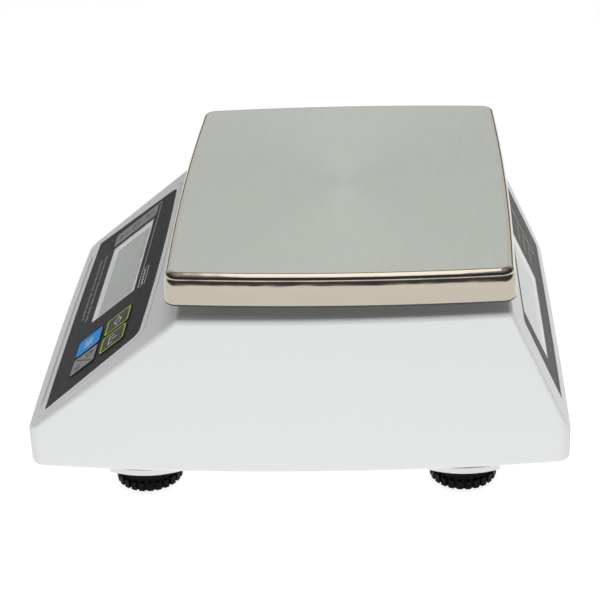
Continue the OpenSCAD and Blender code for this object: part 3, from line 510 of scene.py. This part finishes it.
def make_materials():
    even = (1, 1, 1)
    along_x = (1, 30, 30)
    return {
        "white_housing": moulded("white_housing", (0.775, 0.79, 0.785), (0.785, 0.8, 0.795),
                                 0.34, coat=0.15),
        "white_base": moulded("white_base", (0.7, 0.71, 0.71), (0.73, 0.74, 0.74), 0.55, 900, 0.06),
        "panel_charcoal": printed_film("panel_charcoal", (0.015, 0.016, 0.019),
                                       (0.02, 0.021, 0.025), 0.04),
        "panel_grey_green": printed_film("panel_grey_green", (0.05, 0.056, 0.044),
                                         (0.057, 0.063, 0.05), 0.03),
        "lcd_window": clear_window(),
        "lcd_glass": lcd_glass(),
        "circuit_board": circuit_board(),
        "black_component": moulded("black_component", (0.02, 0.02, 0.022), (0.03, 0.03, 0.032),
                                   0.5, 1200, 0.05),
        "black_plastic": moulded("black_plastic", (0.003, 0.003, 0.004), (0.004, 0.004, 0.006),
                                 0.45, 1000, 0.06, shine=0.08),
        "black_rubber": moulded("black_rubber", (0.006, 0.006, 0.007), (0.01, 0.01, 0.011),
                                0.8, 700, 0.1, shine=0.15),
        "cell_jacket": cell_jacket(),
        "spring_steel": metal("spring_steel", (0.6, 0.58, 0.52), (0.7, 0.68, 0.6), 0.22, 300,
                              even, 0.02),
        "key_membrane": moulded("key_membrane", (0.014, 0.015, 0.017), (0.018, 0.019, 0.021),
                                0.4, 2000, 0.02, shine=0.2),
        "zinc_screw": metal("zinc_screw", (0.6, 0.6, 0.62), (0.72, 0.72, 0.7), 0.28, 500,
                            even, 0.03, 150),
        "black_oxide": metal("black_oxide", (0.05, 0.05, 0.055), (0.09, 0.09, 0.095), 0.4, 500,
                             even, 0.04, 120),
        "cast_aluminium": metal("cast_aluminium", (0.48, 0.49, 0.5), (0.58, 0.59, 0.6), 0.48,
                                800, even, 0.12, 60),
        "load_cell_alloy": metal("load_cell_alloy", (0.66, 0.67, 0.68), (0.74, 0.75, 0.76), 0.3,
                                 90, along_x, 0.02, 60),
        "brass_insert": metal("brass_insert", (0.72, 0.5, 0.2), (0.8, 0.58, 0.26), 0.26, 300,
                              (1, 1, 30), 0.03, 80),
        "cable_grey": moulded("cable_grey", (0.09, 0.09, 0.095), (0.12, 0.12, 0.125), 0.45),
        "wire_red": moulded("wire_red", (0.42, 0.02, 0.02), (0.5, 0.03, 0.03), 0.38),
        "level_fluid": level_liquid(),
        "satin_steel": satin_steel(),
        "polished_steel": polished_steel(),
        "blue_ink": ink("blue_ink", (0.0, 0.34, 0.98)),
        "lime_ink": ink("lime_ink", (0.5, 0.68, 0.02)),
        "grey_ink": ink("grey_ink", (0.3, 0.3, 0.3)),
        "pale_ink": ink("pale_ink", (0.7, 0.71, 0.71)),
        "dim_ink": ink("dim_ink", (0.3, 0.305, 0.32)),
        "black_ink": ink("black_ink", (0.008, 0.008, 0.009)),
        "frame_ink": ink("frame_ink", (0.024, 0.026, 0.021)),
        "segment_tint": ink("segment_tint", (0.122, 0.132, 0.12)),
    }


# ---------------------------------------------------------------- outlines, as in the CAD part

def arc(centre, r, start, end, steps):
    """Points of an arc, both ends included, angles in degrees."""
    turns = [math.radians(start + (end - start) * i / steps) for i in range(steps + 1)]
    return [(centre[0] + r * math.cos(a), centre[1] + r * math.sin(a)) for a in turns]


def bowed_outline(w, y0, y1, side_bow, front_bow, rear_bow, r, fine=2):
    """A closed outline, anticlockwise, whose four edges bow outwards and whose corners are arcs."""
    yc = (y0 + y1) / 2
    h = (y1 - y0) / 2
    xa = w - side_bow - r
    ya = y0 + front_bow * (xa / w) ** 2 + r
    yb = y1 - rear_bow * (xa / w) ** 2 - r
    xf = w - side_bow * ((ya - yc) / h) ** 2 - r
    xr = w - side_bow * ((yb - yc) / h) ** 2 - r
    ends = 5 * fine
    sides = 8 * fine
    right = [(xf * i / ends, y0 + front_bow * (xf * i / ends / w) ** 2) for i in range(ends)]
    right += arc((xf, ya), r, -90, 0, 6 * fine)
    ys = [ya + (yb - ya) * i / sides for i in range(1, sides)]
    right += [(w - side_bow * ((y - yc) / h) ** 2, y) for y in ys]
    right += arc((xr, yb), r, 0, 90, 6 * fine)
    right += [(xr * i / ends, y1 - rear_bow * (xr * i / ends / w) ** 2)
              for i in range(ends - 1, -1, -1)]
    return right + [(-x, y) for x, y in right[-2:0:-1]]


def panel_outline(lower, upper, s0, s1, bows, corners, centre_x=0.0):
    """Wider below than above, both long edges bowed outwards; bows and corners as
    (lower, upper)."""
    r0, r1 = corners

    def edge(width, s, bow, way):
        return [(way * width * i / 6, s + bow * (1 - (i / 6) ** 2)) for i in range(-6, 7)]

    points = (
        edge(lower - r0, s0, -bows[0], 1)
        + arc((lower - r0, s0 + r0), r0, -90, 0, 8)
        + arc((upper - r1, s1 - r1), r1, 0, 90, 8)
        + edge(upper - r1, s1, bows[1], -1)
        + arc((-upper + r1, s1 - r1), r1, 90, 180, 8)
        + arc((-lower + r0, s0 + r0), r0, 180, 270, 8)
    )
    return [(x + centre_x, y) for x, y in points]


def round_rect(w, h, r, centre):
    x, y = centre
    return (
        arc((x + w / 2 - r, y - h / 2 + r), r, -90, 0, 6)
        + arc((x + w / 2 - r, y + h / 2 - r), r, 0, 90, 6)
        + arc((x - w / 2 + r, y + h / 2 - r), r, 90, 180, 6)
        + arc((x - w / 2 + r, y - h / 2 + r), r, 180, 270, 6)
    )


def circle(r, centre=(0, 0), steps=64):
    return arc(centre, r, 0, 360 - 360 / steps, steps - 1)


def half_width(z):
    """Half the housing's width at its middle, at height z on the drafted side."""
    return BODY_W / 2 - SIDE_DRAFT * (z - RIM_Z) / BODY_H


def housing_outline(z, inset):
    return bowed_outline(half_width(z) - inset, -BODY_D / 2 + inset, BODY_D / 2 - inset, SIDE_BOW,
                         FRONT_BOW, REAR_BOW, max(CORNER_R - inset, 2 * MM))


def platter_outline(inset):
    """The platter seen from above; below zero the inset spreads it."""
    return bowed_outline(PLATTER_W / 2 - inset, PLATTER_Y - PLATTER_D / 2 + inset,
                         PLATTER_Y + PLATTER_D / 2 - inset, PLATTER_SIDE_BOW, PLATTER_END_BOW,
                         PLATTER_END_BOW, max(PLATTER_CORNER_R - max(inset, 0), 1 * MM), 3)


def roof(y, inset):
    """Height of the deck or of the slope above y, moved inwards, and the normal there."""
    planes = [
        (DECK_Z - inset, Vector((0, 0, 1))),
        (FRONT_Z - inset * math.cos(FRONT_SLOPE)
         + (y - FRONT_Y - inset * math.sin(FRONT_SLOPE)) * math.tan(FRONT_SLOPE),
         Vector((0, -math.sin(FRONT_SLOPE), math.cos(FRONT_SLOPE)))),
        (REAR_Z - inset * math.cos(REAR_SLOPE)
         - (y - REAR_Y + inset * math.sin(REAR_SLOPE)) * math.tan(REAR_SLOPE),
         Vector((0, math.sin(REAR_SLOPE), math.cos(REAR_SLOPE)))),
    ]
    return min(planes, key=lambda plane: plane[0])


def ridge_ys(inset):
    """Where the two slopes meet the deck, moved inwards."""
    top = DECK_Z - inset
    front = (FRONT_Y + inset * math.sin(FRONT_SLOPE)
             + (top - FRONT_Z + inset * math.cos(FRONT_SLOPE)) / math.tan(FRONT_SLOPE))
    rear = (REAR_Y - inset * math.sin(REAR_SLOPE)
            - (top - REAR_Z + inset * math.cos(REAR_SLOPE)) / math.tan(REAR_SLOPE))
    return front, rear


# ---------------------------------------------------------------- meshes

def new_object(name, mesh, look=None):
    made = bpy.data.objects.new(name, mesh)
    bpy.context.scene.collection.objects.link(made)
    if look:
        mesh.materials.append(LOOKS[look])
    return made


def mesh_of(bm, name):
    mesh = bpy.data.meshes.new(name)
    bm.to_mesh(mesh)
    bm.free()
    return mesh


def add_prism(bm, outline, low, high, matrix):
    """A solid between two heights over a closed outline."""
    lower = [bm.verts.new(matrix @ Vector((x, y, low))) for x, y in outline]
    upper = [bm.verts.new(matrix @ Vector((x, y, high))) for x, y in outline]
    n = len(outline)
    bm.faces.new(lower[::-1])
    bm.faces.new(upper)
    for i in range(n):
        bm.faces.new((lower[i], lower[(i + 1) % n], upper[(i + 1) % n], upper[i]))


def add_frame(bm, outer, inner, low, high, matrix):
    """A solid band between two outlines with equally many points."""
    rings = [[bm.verts.new(matrix @ Vector((x, y, h))) for x, y in points]
             for h in (low, high) for points in (outer, inner)]
    n = len(outer)
    for i in range(n):
        j = (i + 1) % n
        out_low, in_low, out_high, in_high = rings
        bm.faces.new((out_low[i], out_low[j], out_high[j], out_high[i]))
        bm.faces.new((in_low[j], in_low[i], in_high[i], in_high[j]))
        bm.faces.new((out_high[i], out_high[j], in_high[j], in_high[i]))
        bm.faces.new((out_low[j], out_low[i], in_low[i], in_low[j]))


def prism(name, outline, low, high, matrix=Matrix.Identity(4)):
    bm = bmesh.new()
    add_prism(bm, outline, low, high, matrix)
    return new_object(name, mesh_of(bm, name))


def hull(name, points):
    """The convex solid around points, with its flat stretches as single faces."""
    bm = bmesh.new()
    for p in points:
        bm.verts.new(p)
    bmesh.ops.remove_doubles(bm, verts=bm.verts, dist=0.002 * MM)
    result = bmesh.ops.convex_hull(bm, input=bm.verts)
    inside = [e for e in result["geom_interior"] if isinstance(e, bmesh.types.BMVert)]
    bmesh.ops.delete(bm, geom=inside, context="VERTS")
    bmesh.ops.dissolve_limit(bm, angle_limit=math.radians(0.08), verts=bm.verts, edges=bm.edges)
    bmesh.ops.recalc_face_normals(bm, faces=bm.faces)
    return new_object(name, mesh_of(bm, name))


def bake(piece):
    """Makes the modifiers' result the piece's own mesh."""
    shown = piece.evaluated_get(bpy.context.evaluated_depsgraph_get())
    mesh = bpy.data.meshes.new_from_object(shown)
    piece.modifiers.clear()
    piece.data = mesh


def cut(piece, tool, operation="DIFFERENCE"):
    """Takes the tool out of the piece, or joins it on, and removes the tool."""
    modifier = piece.modifiers.new("cut", "BOOLEAN")
    modifier.solver = "MANIFOLD"
    modifier.operation = operation
    modifier.object = tool
    bake(piece)
    bpy.data.objects.remove(tool)


def smooth(piece, angle=28):
    """Smooth shading with sharp edges kept, and broad faces ruling the normals."""
    for face in piece.data.polygons:
        face.use_smooth = True
    piece.data.set_sharp_from_angle(angle=math.radians(angle))
    modifier = piece.modifiers.new("weighted_normals", "WEIGHTED_NORMAL")
    modifier.keep_sharp = True
    modifier.weight = 100
    return piece


def soften(piece, width):
    """Rounded edges on a CAD node, by modifiers only."""
    weld = piece.modifiers.new("weld", "WELD")
    weld.merge_threshold = 0.004 * MM
    bevel = piece.modifiers.new("edge_rounding", "BEVEL")
    bevel.width = width
    bevel.segments = 2
    bevel.limit_method = "ANGLE"
    bevel.angle_limit = math.radians(35)
    bevel.use_clamp_overlap = True
    normals = piece.modifiers.new("weighted_normals", "WEIGHTED_NORMAL")
    normals.keep_sharp = False


# ---------------------------------------------------------------- housing shell

def arc_of_normals(a, b, steps):
    """Unit vectors that turn evenly from a to b."""
    a, b = a.normalized(), b.normalized()
    return [a.slerp(b, i / steps) for i in range(steps + 1)]


def side_normal(points, k, z_lean):
    """Outward normal of the outline at point k, leaning with the draft."""
    x0, y0 = points[k - 1]
    x1, y1 = points[(k + 1) % len(points)]
    across = Vector((y1 - y0, x0 - x1, 0)).normalized()
    return Vector((across.x, across.y, abs(across.x) * z_lean)).normalized()


def column_top(k, inset):
    """Where column k of the outline meets the roof, both moved inwards."""
    z = FRONT_Z
    for _ in range(30):
        points = housing_outline(z, inset)
        z = roof(points[k][1], inset)[0]
    return points, z


def housing_points():
    """Points on rounded edges all round the housing: their hull is its outer form."""
    lean = SIDE_DRAFT / BODY_H
    down = Vector((0, 0, -1))
    found = []
    foot = housing_outline(RIM_Z + RIM_R, RIM_R)
    for k, (x, y) in enumerate(foot):
        middle = Vector((x, y, RIM_Z + RIM_R))
        normal = side_normal(foot, k, lean)
        found += [middle + RIM_R * n for n in arc_of_normals(normal, down, 6)]
    for k in range(len(foot)):
        points, z = column_top(k, EDGE_R)
        x, y = points[k]
        normal = side_normal(points, k, lean)
        up = roof(y, EDGE_R)[1]
        found += [Vector((x, y, z)) + EDGE_R * n for n in arc_of_normals(normal, up, 6)]
    return found + ridge_points(lean)


def ridge_points(lean):
    """The ends of the two edges where the slopes meet the deck."""
    found = []
    top = DECK_Z - EDGE_R
    reach = BODY_D / 2 - EDGE_R
    ways = (Vector((0, -math.sin(FRONT_SLOPE), math.cos(FRONT_SLOPE))),
            Vector((0, math.sin(REAR_SLOPE), math.cos(REAR_SLOPE))))
    for y, slope_up in zip(ridge_ys(EDGE_R), ways):
        x = half_width(top) - EDGE_R - SIDE_BOW * (y / reach) ** 2
        for side in (-1, 1):
            out = Vector((side, 2 * SIDE_BOW * y / reach ** 2, lean))
            for along in arc_of_normals(slope_up, Vector((0, 0, 1)), 5):
                found += [Vector((side * x, y, top)) + EDGE_R * n
                          for n in arc_of_normals(out, along, 6)]
    return found


def cavity_points():
    """The same form inside the walls, from the base pan up."""
    found = []
    foot = housing_outline(PAN_TOP, WALL)
    for k in range(len(foot)):
        points, z = column_top(k, WALL)
        found.append(Vector((*foot[k], PAN_TOP)))
        found.append(Vector((*points[k], z)))
    top = DECK_Z - WALL
    reach = BODY_D / 2 - WALL
    for y in ridge_ys(WALL):
        x = half_width(top) - WALL - SIDE_BOW * (y / reach) ** 2
        found += [Vector((side * x, y, top)) for side in (-1, 1)]
    return found


def key_centres():
    """Where each key sits on the front slope, by (column, row)."""
    return {
        (col, row): (KEY_CENTRE[0] + (col - 0.5) * KEY_PITCH[0],
                     KEY_CENTRE[1] + (row - 0.5) * KEY_PITCH[1])
        for col in (0, 1) for row in (0, 1)
    }


def front_panel(grow):
    """The operator panel's outline on its slope, grown on all sides."""
    half = OVERLAY_W / 2 + grow
    return panel_outline(half, half - OVERLAY_TAPER, OVERLAY_S - grow,
                         OVERLAY_S + OVERLAY_H + grow, FRONT_BOWS, FRONT_CORNERS)


def rear_panel(grow):
    """The customer panel's outline on its slope, grown on all sides."""
    half = REAR_W / 2 + grow
    return panel_outline(half, half - REAR_TAPER, REAR_S - grow, REAR_S + REAR_H + grow,
                         REAR_BOWS, REAR_CORNERS, REAR_X)


def window_outline(s, lip=0.0):
    return round_rect(WINDOW_W - 2 * lip, WINDOW_H - 2 * lip, WINDOW_R, (WINDOW_X, s))


def make_housing():
    """The upper housing: a drafted hull, hollowed, then cut for all that it holds."""
    shell = hull("housing_shell", housing_points())
    deck = Matrix.Translation((0, PLATTER_Y, 0))
    through = DECK_Z - 3 * WALL
    collar = circle(HOLE_R + COLLAR_WALL)
    cut(shell, prism("collar", collar, DECK_Z - WALL, DECK_Z + COLLAR_H, deck), "UNION")
    lip = round_rect(LIP_W, LIP_H, LIP_R, (0, LIP_S))
    cut(shell, prism("front_lip", lip, -WALL, LIP_RISE, ON_FRONT), "UNION")
    cut(shell, hull("cavity", cavity_points()))
    cut(shell, prism("mouth", housing_outline(RIM_Z, FLANGE_W), RIM_Z - 5 * MM, PAN_TOP + 1 * MM))
    cut(shell, prism("deck_hole", circle(HOLE_R), through, DECK_Z + OVERCUT, deck))
    level = Matrix.Translation((*LEVEL_AT, 0))
    cut(shell, prism("level_hole", circle(LEVEL_R), through, DECK_Z + OVERCUT, level))
    cut(shell, prism("front_pocket", front_panel(BEZEL_RIM + GAP), -BEZEL_T, OVERCUT, ON_FRONT))
    cut(shell, prism("rear_pocket", rear_panel(GAP), -OVERLAY_T - OVERLAY_SINK, OVERCUT, ON_REAR))
    for name, s, matrix in (("front_window", FRONT_WINDOW_S, ON_FRONT),
                            ("rear_window", REAR_WINDOW_S, ON_REAR)):
        cut(shell, prism(name, window_outline(s, WINDOW_LIP), -3 * WALL, 0, matrix))
    for centre in key_centres().values():
        hole = round_rect(KEY_W + 2 * GAP, KEY_H + 2 * GAP, KEY_R, centre)
        cut(shell, prism("key_hole", hole, -3 * WALL, 0, ON_FRONT))
    jack = Matrix.Translation((JACK_X, REAR_Y, JACK_Z)) @ Matrix.Rotation(math.pi / 2, 4, "X")
    cut(shell, prism("jack_hole", circle(JACK_R, steps=40), -OVERCUT, OVERCUT, jack))
    add_posts(shell)
    shell.data.materials.clear()
    shell.data.materials.append(LOOKS["white_housing"])
    smooth(shell)
    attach(shell, "housing")
    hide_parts("upper_housing")


def add_posts(shell):
    """The screw posts inside, from the base up into the roof's thickness."""
    bm = bmesh.new()
    bm.from_mesh(shell.data)
    post = circle(POST_R, steps=32)
    bore = circle(POST_BORE_R, steps=32)
    bore_top = PAN_TOP + POST_BORE_H
    for x, y in POSTS:
        top = min(roof(y - POST_R, WALL)[0], roof(y + POST_R, WALL)[0]) + 0.5 * MM
        for side in (-1, 1):
            place = Matrix.Translation((side * x, y, 0))
            add_frame(bm, post, bore, PAN_TOP, bore_top, place)
            add_prism(bm, post, bore_top, top, place)
    bm.to_mesh(shell.data)
    bm.free()


# ---------------------------------------------------------------- platter

def platter_rings():
    """Height and inset of each ring, from the inner top edge out, round the hem and back in."""
    bend_z = PLATTER_TOP - BEND_R
    turns = [math.radians(90 - 90 * i / 12) for i in range(13)]
    outer = [(PLATTER_TOP - BEND_R * (1 - math.sin(a)), BEND_R * (1 - math.cos(a))) for a in turns]
    inner_r = BEND_R - SHEET
    inner = [(PLATTER_TOP - SHEET - inner_r * (1 - math.sin(a)),
              SHEET + inner_r * (1 - math.cos(a))) for a in reversed(turns)]
    low = PLATTER_Z + HEM
    straight = [(low + (bend_z - low) * t, -SKIRT_FLARE * (1 - t ** 4))
                for t in (0.96, 0.92, 0.87, 0.82, 0.76, 0.7, 0.6, 0.5, 0.35, 0.04)]
    rim = [(low - HEM * math.sin(a), HEM * (1 - math.cos(a)) - SKIRT_FLARE)
           for a in (math.radians(step) for step in (0, 22, 45, 67, 90))]
    rim += [(PLATTER_Z, SHEET - 0.3 * MM - SKIRT_FLARE), (low, SHEET - SKIRT_FLARE)]
    return [(PLATTER_TOP, BEND_R + 0.3 * MM)] + outer + straight + rim + inner


def make_platter():
    """The folded pan: satin on top and below, polished skirt, and a dark band painted at the
    skirt's foot and hem as the shade beneath it.
    """
    bm = bmesh.new()
    rings = [[bm.verts.new((x, y, z)) for x, y in platter_outline(inset)]
             for z, inset in platter_rings()]
    n = len(rings[0])
    top = bm.faces.new(rings[0])
    top.material_index = 1
    for level, (upper, lower) in enumerate(zip(rings, rings[1:])):
        for i in range(n):
            j = (i + 1) % n
            face = bm.faces.new((upper[j], upper[i], lower[i], lower[j]))
            face.material_index = 1 if level == 0 else 0
            # the bands at the skirt's foot and hem take the third look, dark steel, as painted
            # shade under the skirt
            if SKIRT_SHADE_BANDS[0] <= level <= SKIRT_SHADE_BANDS[1]:
                face.material_index = 2
    under = bm.faces.new(rings[-1][::-1])
    under.material_index = 1
    bmesh.ops.recalc_face_normals(bm, faces=bm.faces)
    pan = new_object("platter_pan", mesh_of(bm, "platter_pan"))
    # the third look, black_oxide, is painted shade along the skirt's foot and hem
    for look in ("polished_steel", "satin_steel", "black_oxide"):
        pan.data.materials.append(LOOKS[look])
    smooth(pan, 40)
    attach(pan, "platter")
    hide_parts("platter")


# ---------------------------------------------------------------- printing on the panels

def print_piece(name, look, body, draw):
    """One printed layer: draw adds its solids to a bmesh."""
    bm = bmesh.new()
    draw(bm)
    piece = new_object(name, mesh_of(bm, name), look)
    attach(piece, body)
    return piece


def bar(x0, x1, s0, s1, r):
    """A rounded bar across x and up the slope s, with corners no larger than it has room for."""
    r = min(r, (x1 - x0) / 2.01, (s1 - s0) / 2.01)
    return round_rect(x1 - x0, s1 - s0, r, ((x0 + x1) / 2, (s0 + s1) / 2))


def on_film(bm, outline, matrix=ON_FRONT, base=FILM):
    """One patch of ink: its underside is sunk so that it can't flicker on the film."""
    add_prism(bm, outline, base - INK_SINK, base + INK_T, matrix)


def frame_on_film(bm, outer, inner, matrix=ON_FRONT, base=FILM):
    add_frame(bm, outer, inner, base - INK_SINK, base + INK_T, matrix)


def mm_bar(x0, x1, s0, s1, r=0.3):
    return bar(x0 * MM, x1 * MM, s0 * MM, s1 * MM, r * MM)


def draw_info_strip(bm):
    on_film(bm, mm_bar(-94, -77, 29, 67, 1.5))
    on_film(bm, mm_bar(-94, 4, 69.2, 70.2, 0.2))
    on_film(bm, mm_bar(-94, -92.6, 66, 70.2, 0.2))


def draw_label_box(bm):
    frame_on_film(bm, mm_bar(4, 27, 69, 75, 0.5), mm_bar(4.5, 26.5, 69.5, 74.5, 0.3))
    for i in range(5):
        on_film(bm, mm_bar(6.5 + 4 * i, 8.9 + 4 * i, 71.2, 72.8, 0.2))


def draw_strip_marks(bm):
    """Generic pictograms on the info strip: ticks, a ring and small bars."""
    base = FILM + INK_T
    for i in range(3):
        s = 33 + 12 * i
        on_film(bm, mm_bar(-89.5, -82, s, s + 0.7), base=base)
        on_film(bm, mm_bar(-88, -83.5, s + 1.7, s + 2.4), base=base)
        ring = circle(1.5 * MM, (-85.6 * MM, (s + 5.6) * MM), 24)
        hole = circle(1.0 * MM, (-85.6 * MM, (s + 5.6) * MM), 24)
        add_frame(bm, ring, hole, base, base + INK_T, ON_FRONT)


def draw_window_lines(bm):
    on_film(bm, mm_bar(-75.6, -73.6, 29.5, 67.6, 0.4))
    on_film(bm, mm_bar(-75.6, 27.2, 66.5, 67.6, 0.4))
    on_film(bm, mm_bar(-75.6, 27.2, 68.0, 68.6, 0.2))


def draw_note_rows(bm):
    """Two rows of small upright bars in place of the small print."""
    for row, s in enumerate((18.4, 22.8)):
        x = -70.0
        step = 0
        while x < (18 if row else 10):
            width = 0.7 + 0.5 * ((step * 7 + row * 3) % 3) / 2
            tall = 1.7 + 0.8 * ((step * 5 + row) % 4) / 3
            on_film(bm, mm_bar(x, x + width, s, s + tall, 0.25))
            x += width + (2.0 if step % 6 == 5 else 0.7)
            step += 1


def draw_key_frame(bm, centre):
    margin = 0.6 * MM
    line = 1.0 * MM
    w = KEY_W - margin
    h = KEY_H - margin
    outer = round_rect(w, h, 2.2 * MM, centre)
    inner = round_rect(w - 2 * line, h - 2 * line, 1.3 * MM, centre)
    frame_on_film(bm, outer, inner, base=KEY_TOP)


def draw_key_fill(bm, centre):
    fill = round_rect(KEY_W - 0.5 * MM, KEY_H - 0.5 * MM, 2.0 * MM, centre)
    on_film(bm, fill, base=KEY_TOP)


def key_bars(bm, centre, bars, base=KEY_TOP):
    """Small bars on a key, each (x0, x1, s0, s1) in millimetres from its centre."""
    for x0, x1, s0, s1 in bars:
        shape = bar(centre[0] + x0 * MM, centre[0] + x1 * MM, centre[1] + s0 * MM,
                    centre[1] + s1 * MM, INK_CORNER)
        on_film(bm, shape, base=base)


def key_ring(bm, centre, r, line, offset, base=KEY_TOP):
    middle = (centre[0] + offset[0] * MM, centre[1] + offset[1] * MM)
    outer = circle(r * MM, middle, 32)
    frame_on_film(bm, outer, circle((r - line) * MM, middle, 32), base=base)


def draw_zero_mark(bm, centre):
    key_ring(bm, centre, 3.0, 0.8, (0, 0))
    key_bars(bm, centre, [(-6.6, -4.4, -0.4, 0.4), (4.4, 6.6, -0.4, 0.4)])


def draw_tare_mark(bm, centre):
    key_bars(bm, centre, [(-4.6, 4.6, -3.4, -2.6), (-4.6, -3.8, -2.8, 0.6), (3.8, 4.6, -2.8, 0.6),
                          (-0.4, 0.4, -1.2, 3.6)])


def draw_sample_mark(bm, centre):
    dots = [(-3.6 + 2.8 * i, -1.6 + 2.8 * i, -1.0 - 2.2 * j, 0.6 - 2.2 * j)
            for i in range(3) for j in range(-1, 2)]
    key_bars(bm, centre, dots, KEY_TOP + INK_T)


def draw_power_mark(bm, centre):
    base = KEY_TOP + INK_T
    key_ring(bm, centre, 2.7, 0.7, (-4.0, 3.4), base)
    key_bars(bm, centre, [(-4.35, -3.65, 4.2, 7.6), (2.2, 6.4, -3.4, -2.8), (2.2, 6.4, -5.0, -4.4),
                          (2.2, 4.6, -6.6, -6.0)], base)
    slash = Matrix.Rotation(math.radians(45), 4, "Z")
    place = ON_FRONT @ Matrix.Translation((centre[0], centre[1], 0)) @ slash
    on_film(bm, mm_bar(-9.5, 9.5, -0.3, 0.3, 0.2), place, base)


def make_key_prints():
    centres = key_centres()
    zero, tare = centres[0, 1], centres[1, 1]
    sample, power = centres[0, 0], centres[1, 0]
    keys = (
        ("zero_outline", "lime_ink", "key_zero", draw_key_frame, zero),
        ("zero_symbol", "pale_ink", "key_zero", draw_zero_mark, zero),
        ("tare_outline", "lime_ink", "key_tare", draw_key_frame, tare),
        ("tare_symbol", "pale_ink", "key_tare", draw_tare_mark, tare),
        ("sample_fill", "blue_ink", "key_sample", draw_key_fill, sample),
        ("sample_symbol", "pale_ink", "key_sample", draw_sample_mark, sample),
        ("power_fill", "grey_ink", "key_power", draw_key_fill, power),
        ("power_symbol", "black_ink", "key_power", draw_power_mark, power),
    )
    for name, look, body, draw, centre in keys:
        print_piece(name, look, body, lambda bm: draw(bm, centre))


def draw_digits(bm, s, matrix):
    """Faint unlit seven-segment digits, each slab lying on the display glass."""
    count = 6
    pitch = 15
    tall = 11.0
    wide = 11.0
    thick = 1.7
    start = -((count - 1) * pitch + wide) / 2
    lean = Matrix.Identity(4)
    lean[0][1] = 0.09
    for digit in range(count):
        x = WINDOW_X / MM + start + pitch * digit
        place = matrix @ Matrix.Translation((x * MM, s, 0)) @ lean
        shapes = [(1.2, wide - 1.2, level * tall - thick / 2, level * tall + thick / 2)
                  for level in (-1, 0, 1)]
        shapes += [(end - thick / 2 + edge, end + thick / 2 + edge, low + 1.1, low + tall - 1.1)
                   for end, edge in ((0, 0.4), (wide, -0.4)) for low in (-tall, 0)]
        for x0, x1, s0, s1 in shapes:
            on_film(bm, mm_bar(x0, x1, s0, s1, 0.7), place, LCD_TOP)


def make_panel_prints():
    """The prints on the two panels and on the keys, each its own piece."""
    front = "panel_charcoal"
    rear = "panel_grey_green"
    prints = (
        ("front_info_strip", "grey_ink", front, draw_info_strip),
        ("front_strip_marks", "black_ink", front, draw_strip_marks),
        ("front_label_box", "pale_ink", front, draw_label_box),
        ("front_window_lines", "black_ink", front, draw_window_lines),
        ("front_note_rows", "dim_ink", front, draw_note_rows),
        ("front_lcd_digits", "segment_tint", "lcd_glass",
         lambda bm: draw_digits(bm, FRONT_WINDOW_S, ON_FRONT)),
        ("rear_lcd_digits", "segment_tint", "lcd_glass",
         lambda bm: draw_digits(bm, REAR_WINDOW_S, ON_REAR)),
        ("rear_window_frame", "grey_ink", rear, draw_rear_frame),
        ("rear_label_line", "pale_ink", rear, draw_rear_line),
        ("rear_note_bars", "grey_ink", rear, draw_rear_notes),
        ("rear_border_line", "frame_ink", rear, draw_rear_border),
    )
    for name, look, slot, draw in prints:
        print_piece(name, look, "housing", draw)
    make_key_prints()


def draw_rear_frame(bm):
    border = 1.4 * MM
    outer = round_rect(WINDOW_W + border, WINDOW_H + border, 1.9 * MM, (WINDOW_X, REAR_WINDOW_S))
    frame_on_film(bm, outer, window_outline(REAR_WINDOW_S), ON_REAR)


def draw_rear_line(bm):
    on_film(bm, mm_bar(68, 69.2, 18, 57, 0.3), ON_REAR)


def draw_rear_notes(bm):
    """Three rows of small upright bars beside the customer's window."""
    for row, s in enumerate((27, 36, 45)):
        for step in range(11):
            x = 38 + 2.3 * step
            tall = 2.2 + 1.2 * ((step * 5 + row) % 3) / 2
            on_film(bm, mm_bar(x, x + 1.3, s, s + tall, 0.25), ON_REAR)


def draw_rear_border(bm):
    frame_on_film(bm, rear_panel(-0.3 * MM), rear_panel(-2.6 * MM), ON_REAR)


# ---------------------------------------------------------------- nodes kept from the CAD part

# Edge rounding of the CAD nodes, in millimetres
EDGE_WIDTH = {
    "base_pan": 0.6, "battery_door": 0.5, "front_bezel": 0.25, "chassis": 0.4,
    "load_cell": 0.4, "load_cell_foot": 0.4, "load_cell_head": 0.4, "column": 0.7,
    "spider": 1.0, "spider_pads": 0.4, "battery_box": 0.6, "dc_jack": 0.3,
    "foot_inserts": 0.3, "housing_screws": 0.25, "board_screws": 0.2, "chassis_screws": 0.3,
    "spider_screws": 0.25, "head_bolts": 0.35, "load_cell_bolts": 0.35, "overload_screw": 0.3,
    "level_cup": 0.4, "board_chips": 0.25, "buzzer": 0.3, "battery_cells": 0.8,
    "key_zero": 0.3, "key_tare": 0.3, "key_sample": 0.3, "key_power": 0.3,
}
for corner in ("fl", "fr", "rl", "rr"):
    EDGE_WIDTH["foot_wheel_" + corner] = 0.45
    EDGE_WIDTH["foot_pad_" + corner] = 0.5


def finish_cad_nodes():
    """Gives every carried-over CAD node its material and its edge rounding."""
    for part in frame["record"]["subparts"]:
        node = NODES[part["node"]]
        node.data.materials.clear()
        node.data.materials.append(LOOKS[part["material_slot"]])
        width = EDGE_WIDTH.get(part["node"])
        if width and not node.hide_render:
            soften(node, width * MM)
    for lens in ("front_lens", "rear_lens", "level_vial"):
        NODES[lens].visible_shadow = False


# ---------------------------------------------------------------- the scene

bpy.context.scene.view_settings.view_transform = "Standard"
make_camera()
make_lights()
make_world()
make_floor()
LOOKS = make_materials()
LOOKS["stainless"] = LOOKS["satin_steel"]
make_housing()
make_platter()
make_panel_prints()
finish_cad_nodes()
